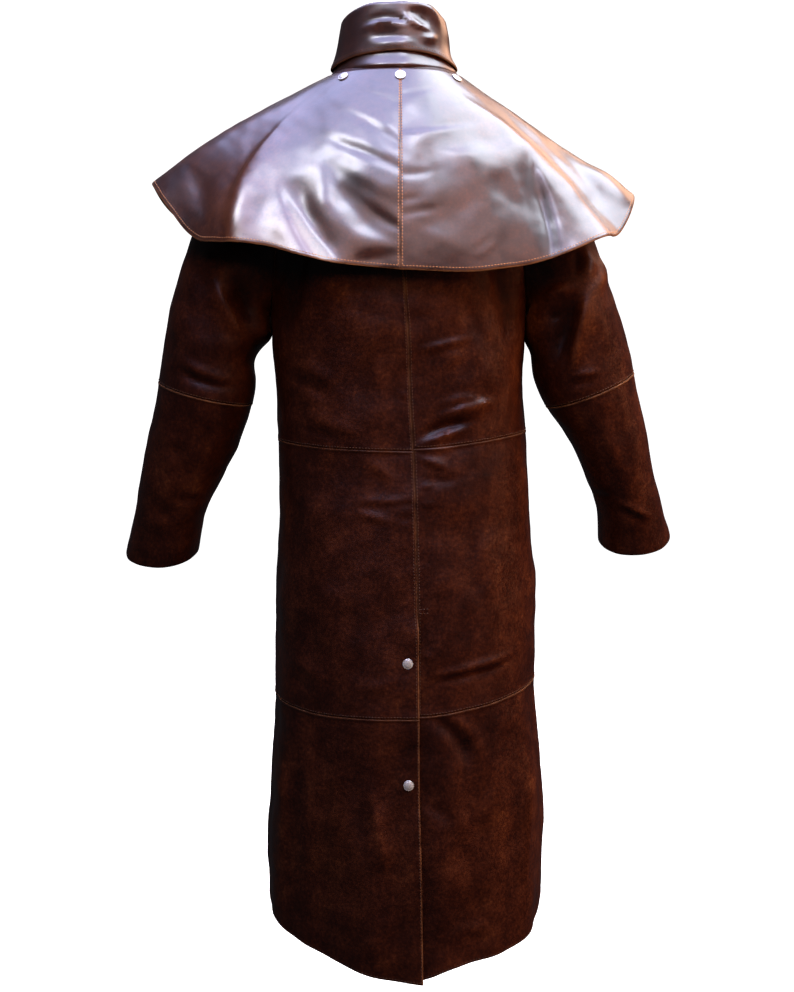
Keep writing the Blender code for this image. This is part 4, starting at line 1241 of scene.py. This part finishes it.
stageLook = {
    "floorZ": -1.53, "radius": 7.0, "pole": 0.01,
    "pale": {"Base Color": (0.9, 0.9, 0.9, 1), "Roughness": 0.9,
             "Emission Color": (1, 1, 1, 1), "Emission Strength": 1.1},
    "room": (0.03, 0.03, 0.034, 1),
    "cameraAt": (0.0045, 2.025, -0.3764), "pitch": 83.54, "lens": 50,
    # name, place, aim, size, watts, colour and kind: gloss ones show only as reflections, matt ones never do
    "lights": [
        ("overhead_left", (0.3, 0.75, 1.5), (0.3, 0.75, 0), (1.7, 3.5), 96, (0.55, 0.58, 1.0), "all"),
        ("overhead_right", (-1.375, 0.25, 1.5), (-1.375, 0.25, 0), (1.65, 2.3), 100, (0.82, 0.87, 1), "all"),
        ("left_gloss", (0.98, 1.62, 1.35), (0.15, 0.15, -0.22), (0.45, 0.45), 17, (0.93, 0.94, 1.0), "gloss"),
        ("valley_gloss", (-0.24, 1.38, 1.21), (0.07, 0.15, -0.2), (0.45, 0.45), 10, (0.9, 0.92, 1), "gloss"),
        ("camera_side_gloss", (-0.7, 2.6, 0.75), (0, 0.15, -0.2), (3.0, 1.4), 18, (1.0, 0.60, 0.54), "gloss"),
        ("right_warm", (-2.2, 0.3, -0.2), (0, 0, -0.6), (0.8, 1.6), 42, (1.0, 0.58, 0.27), "matt"),
        ("back_right_warm", (-1.8, 1.5, 0.8), (0, 0, -0.8), (1.8, 1.5), 30, (1.0, 0.58, 0.30), "matt"),
        ("back_fill", (0.08, 1.05, 0.10), (0.03, 0, -0.40), (0.5, 0.3), 4.5, (1.0, 0.72, 0.50), "matt"),
        ("front_right_pink", (-1.6, -1.6, 1.2), (-0.2, 0.05, -0.15), (1.3, 1), 16, (1.0, 0.56, 0.36), "all"),
        ("front_softbox", (0.0, -2.0, 1.7), (0, 0, -0.5), (0.7, 1.3), 90, (1.0, 0.95, 0.9), "all"),
    ],
}


def makeStage():
    # floor disc and the backdrop round it, turned from one profile in metres
    floorZ, radius, pole = stageLook["floorZ"], stageLook["radius"], stageLook["pole"]
    rings = lathe([(pole, floorZ), (radius, floorZ), (radius, floorZ + 6), (pole, floorZ + 9)], 64)
    for name, rows, end in (("floor", rings[:2], 0), ("backdrop", rings[1:], -1)):
        index, quads = gridFaces(*rows.shape[:2], closed=True)
        faces = quads.tolist() + [index[end, :-1].tolist()]         # the last face closes the pole
        mesh = bpy.data.meshes.new(name)
        mesh.from_pydata(rows.reshape(-1, 3).tolist(), [], faces)
        mesh.materials.append(newMaterial("pale_" + name, stageLook["pale"]))
        item = bpy.data.objects.new(name, mesh)
        bpy.context.scene.collection.objects.link(item)
        item.visible_glossy = False
        item.visible_diffuse = False


def makeLights():
    # rectangular lamps from the table, turned from their place to their aim
    polished = bpy.data.collections.new("gloss_light_receivers")     # the gloss lights fall on these alone
    for node in ("cape_left", "cape_right", "collar_stand", "collar_fall"):
        polished.objects.link(placed[node]["item"])
    for name, place, aim, size, watts, colour, kind in stageLook["lights"]:
        data = bpy.data.lights.new(name, "AREA")
        data.shape = "RECTANGLE"
        data.size, data.size_y = size
        data.energy = watts
        data.color = colour
        item = bpy.data.objects.new(name, data)
        item.location = place
        item.rotation_euler = (Vector(aim) - Vector(place)).to_track_quat("-Z", "Y").to_euler()
        item.visible_camera = False
        if kind == "gloss":
            item.light_linking.receiver_collection = polished
        item.visible_diffuse = kind != "gloss"
        item.visible_glossy = kind != "matt"
        bpy.context.scene.collection.objects.link(item)
    world = bpy.data.worlds.new("dim_room")
    world.use_nodes = True
    world.node_tree.nodes["Background"].inputs["Color"].default_value = stageLook["room"]
    bpy.context.scene.world = world


def makeCamera():
    # behind the coat, looking down a little
    data = bpy.data.cameras.new("photo_view")
    data.lens = stageLook["lens"]
    item = bpy.data.objects.new("photo_view", data)
    item.location = stageLook["cameraAt"]
    item.rotation_euler = (math.radians(stageLook["pitch"]), 0, math.pi)
    bpy.context.scene.collection.objects.link(item)
    bpy.context.scene.camera = item
    bpy.context.scene.view_settings.view_transform = "Standard"


makeStage()
makeLights()
makeCamera()
print("stage made")
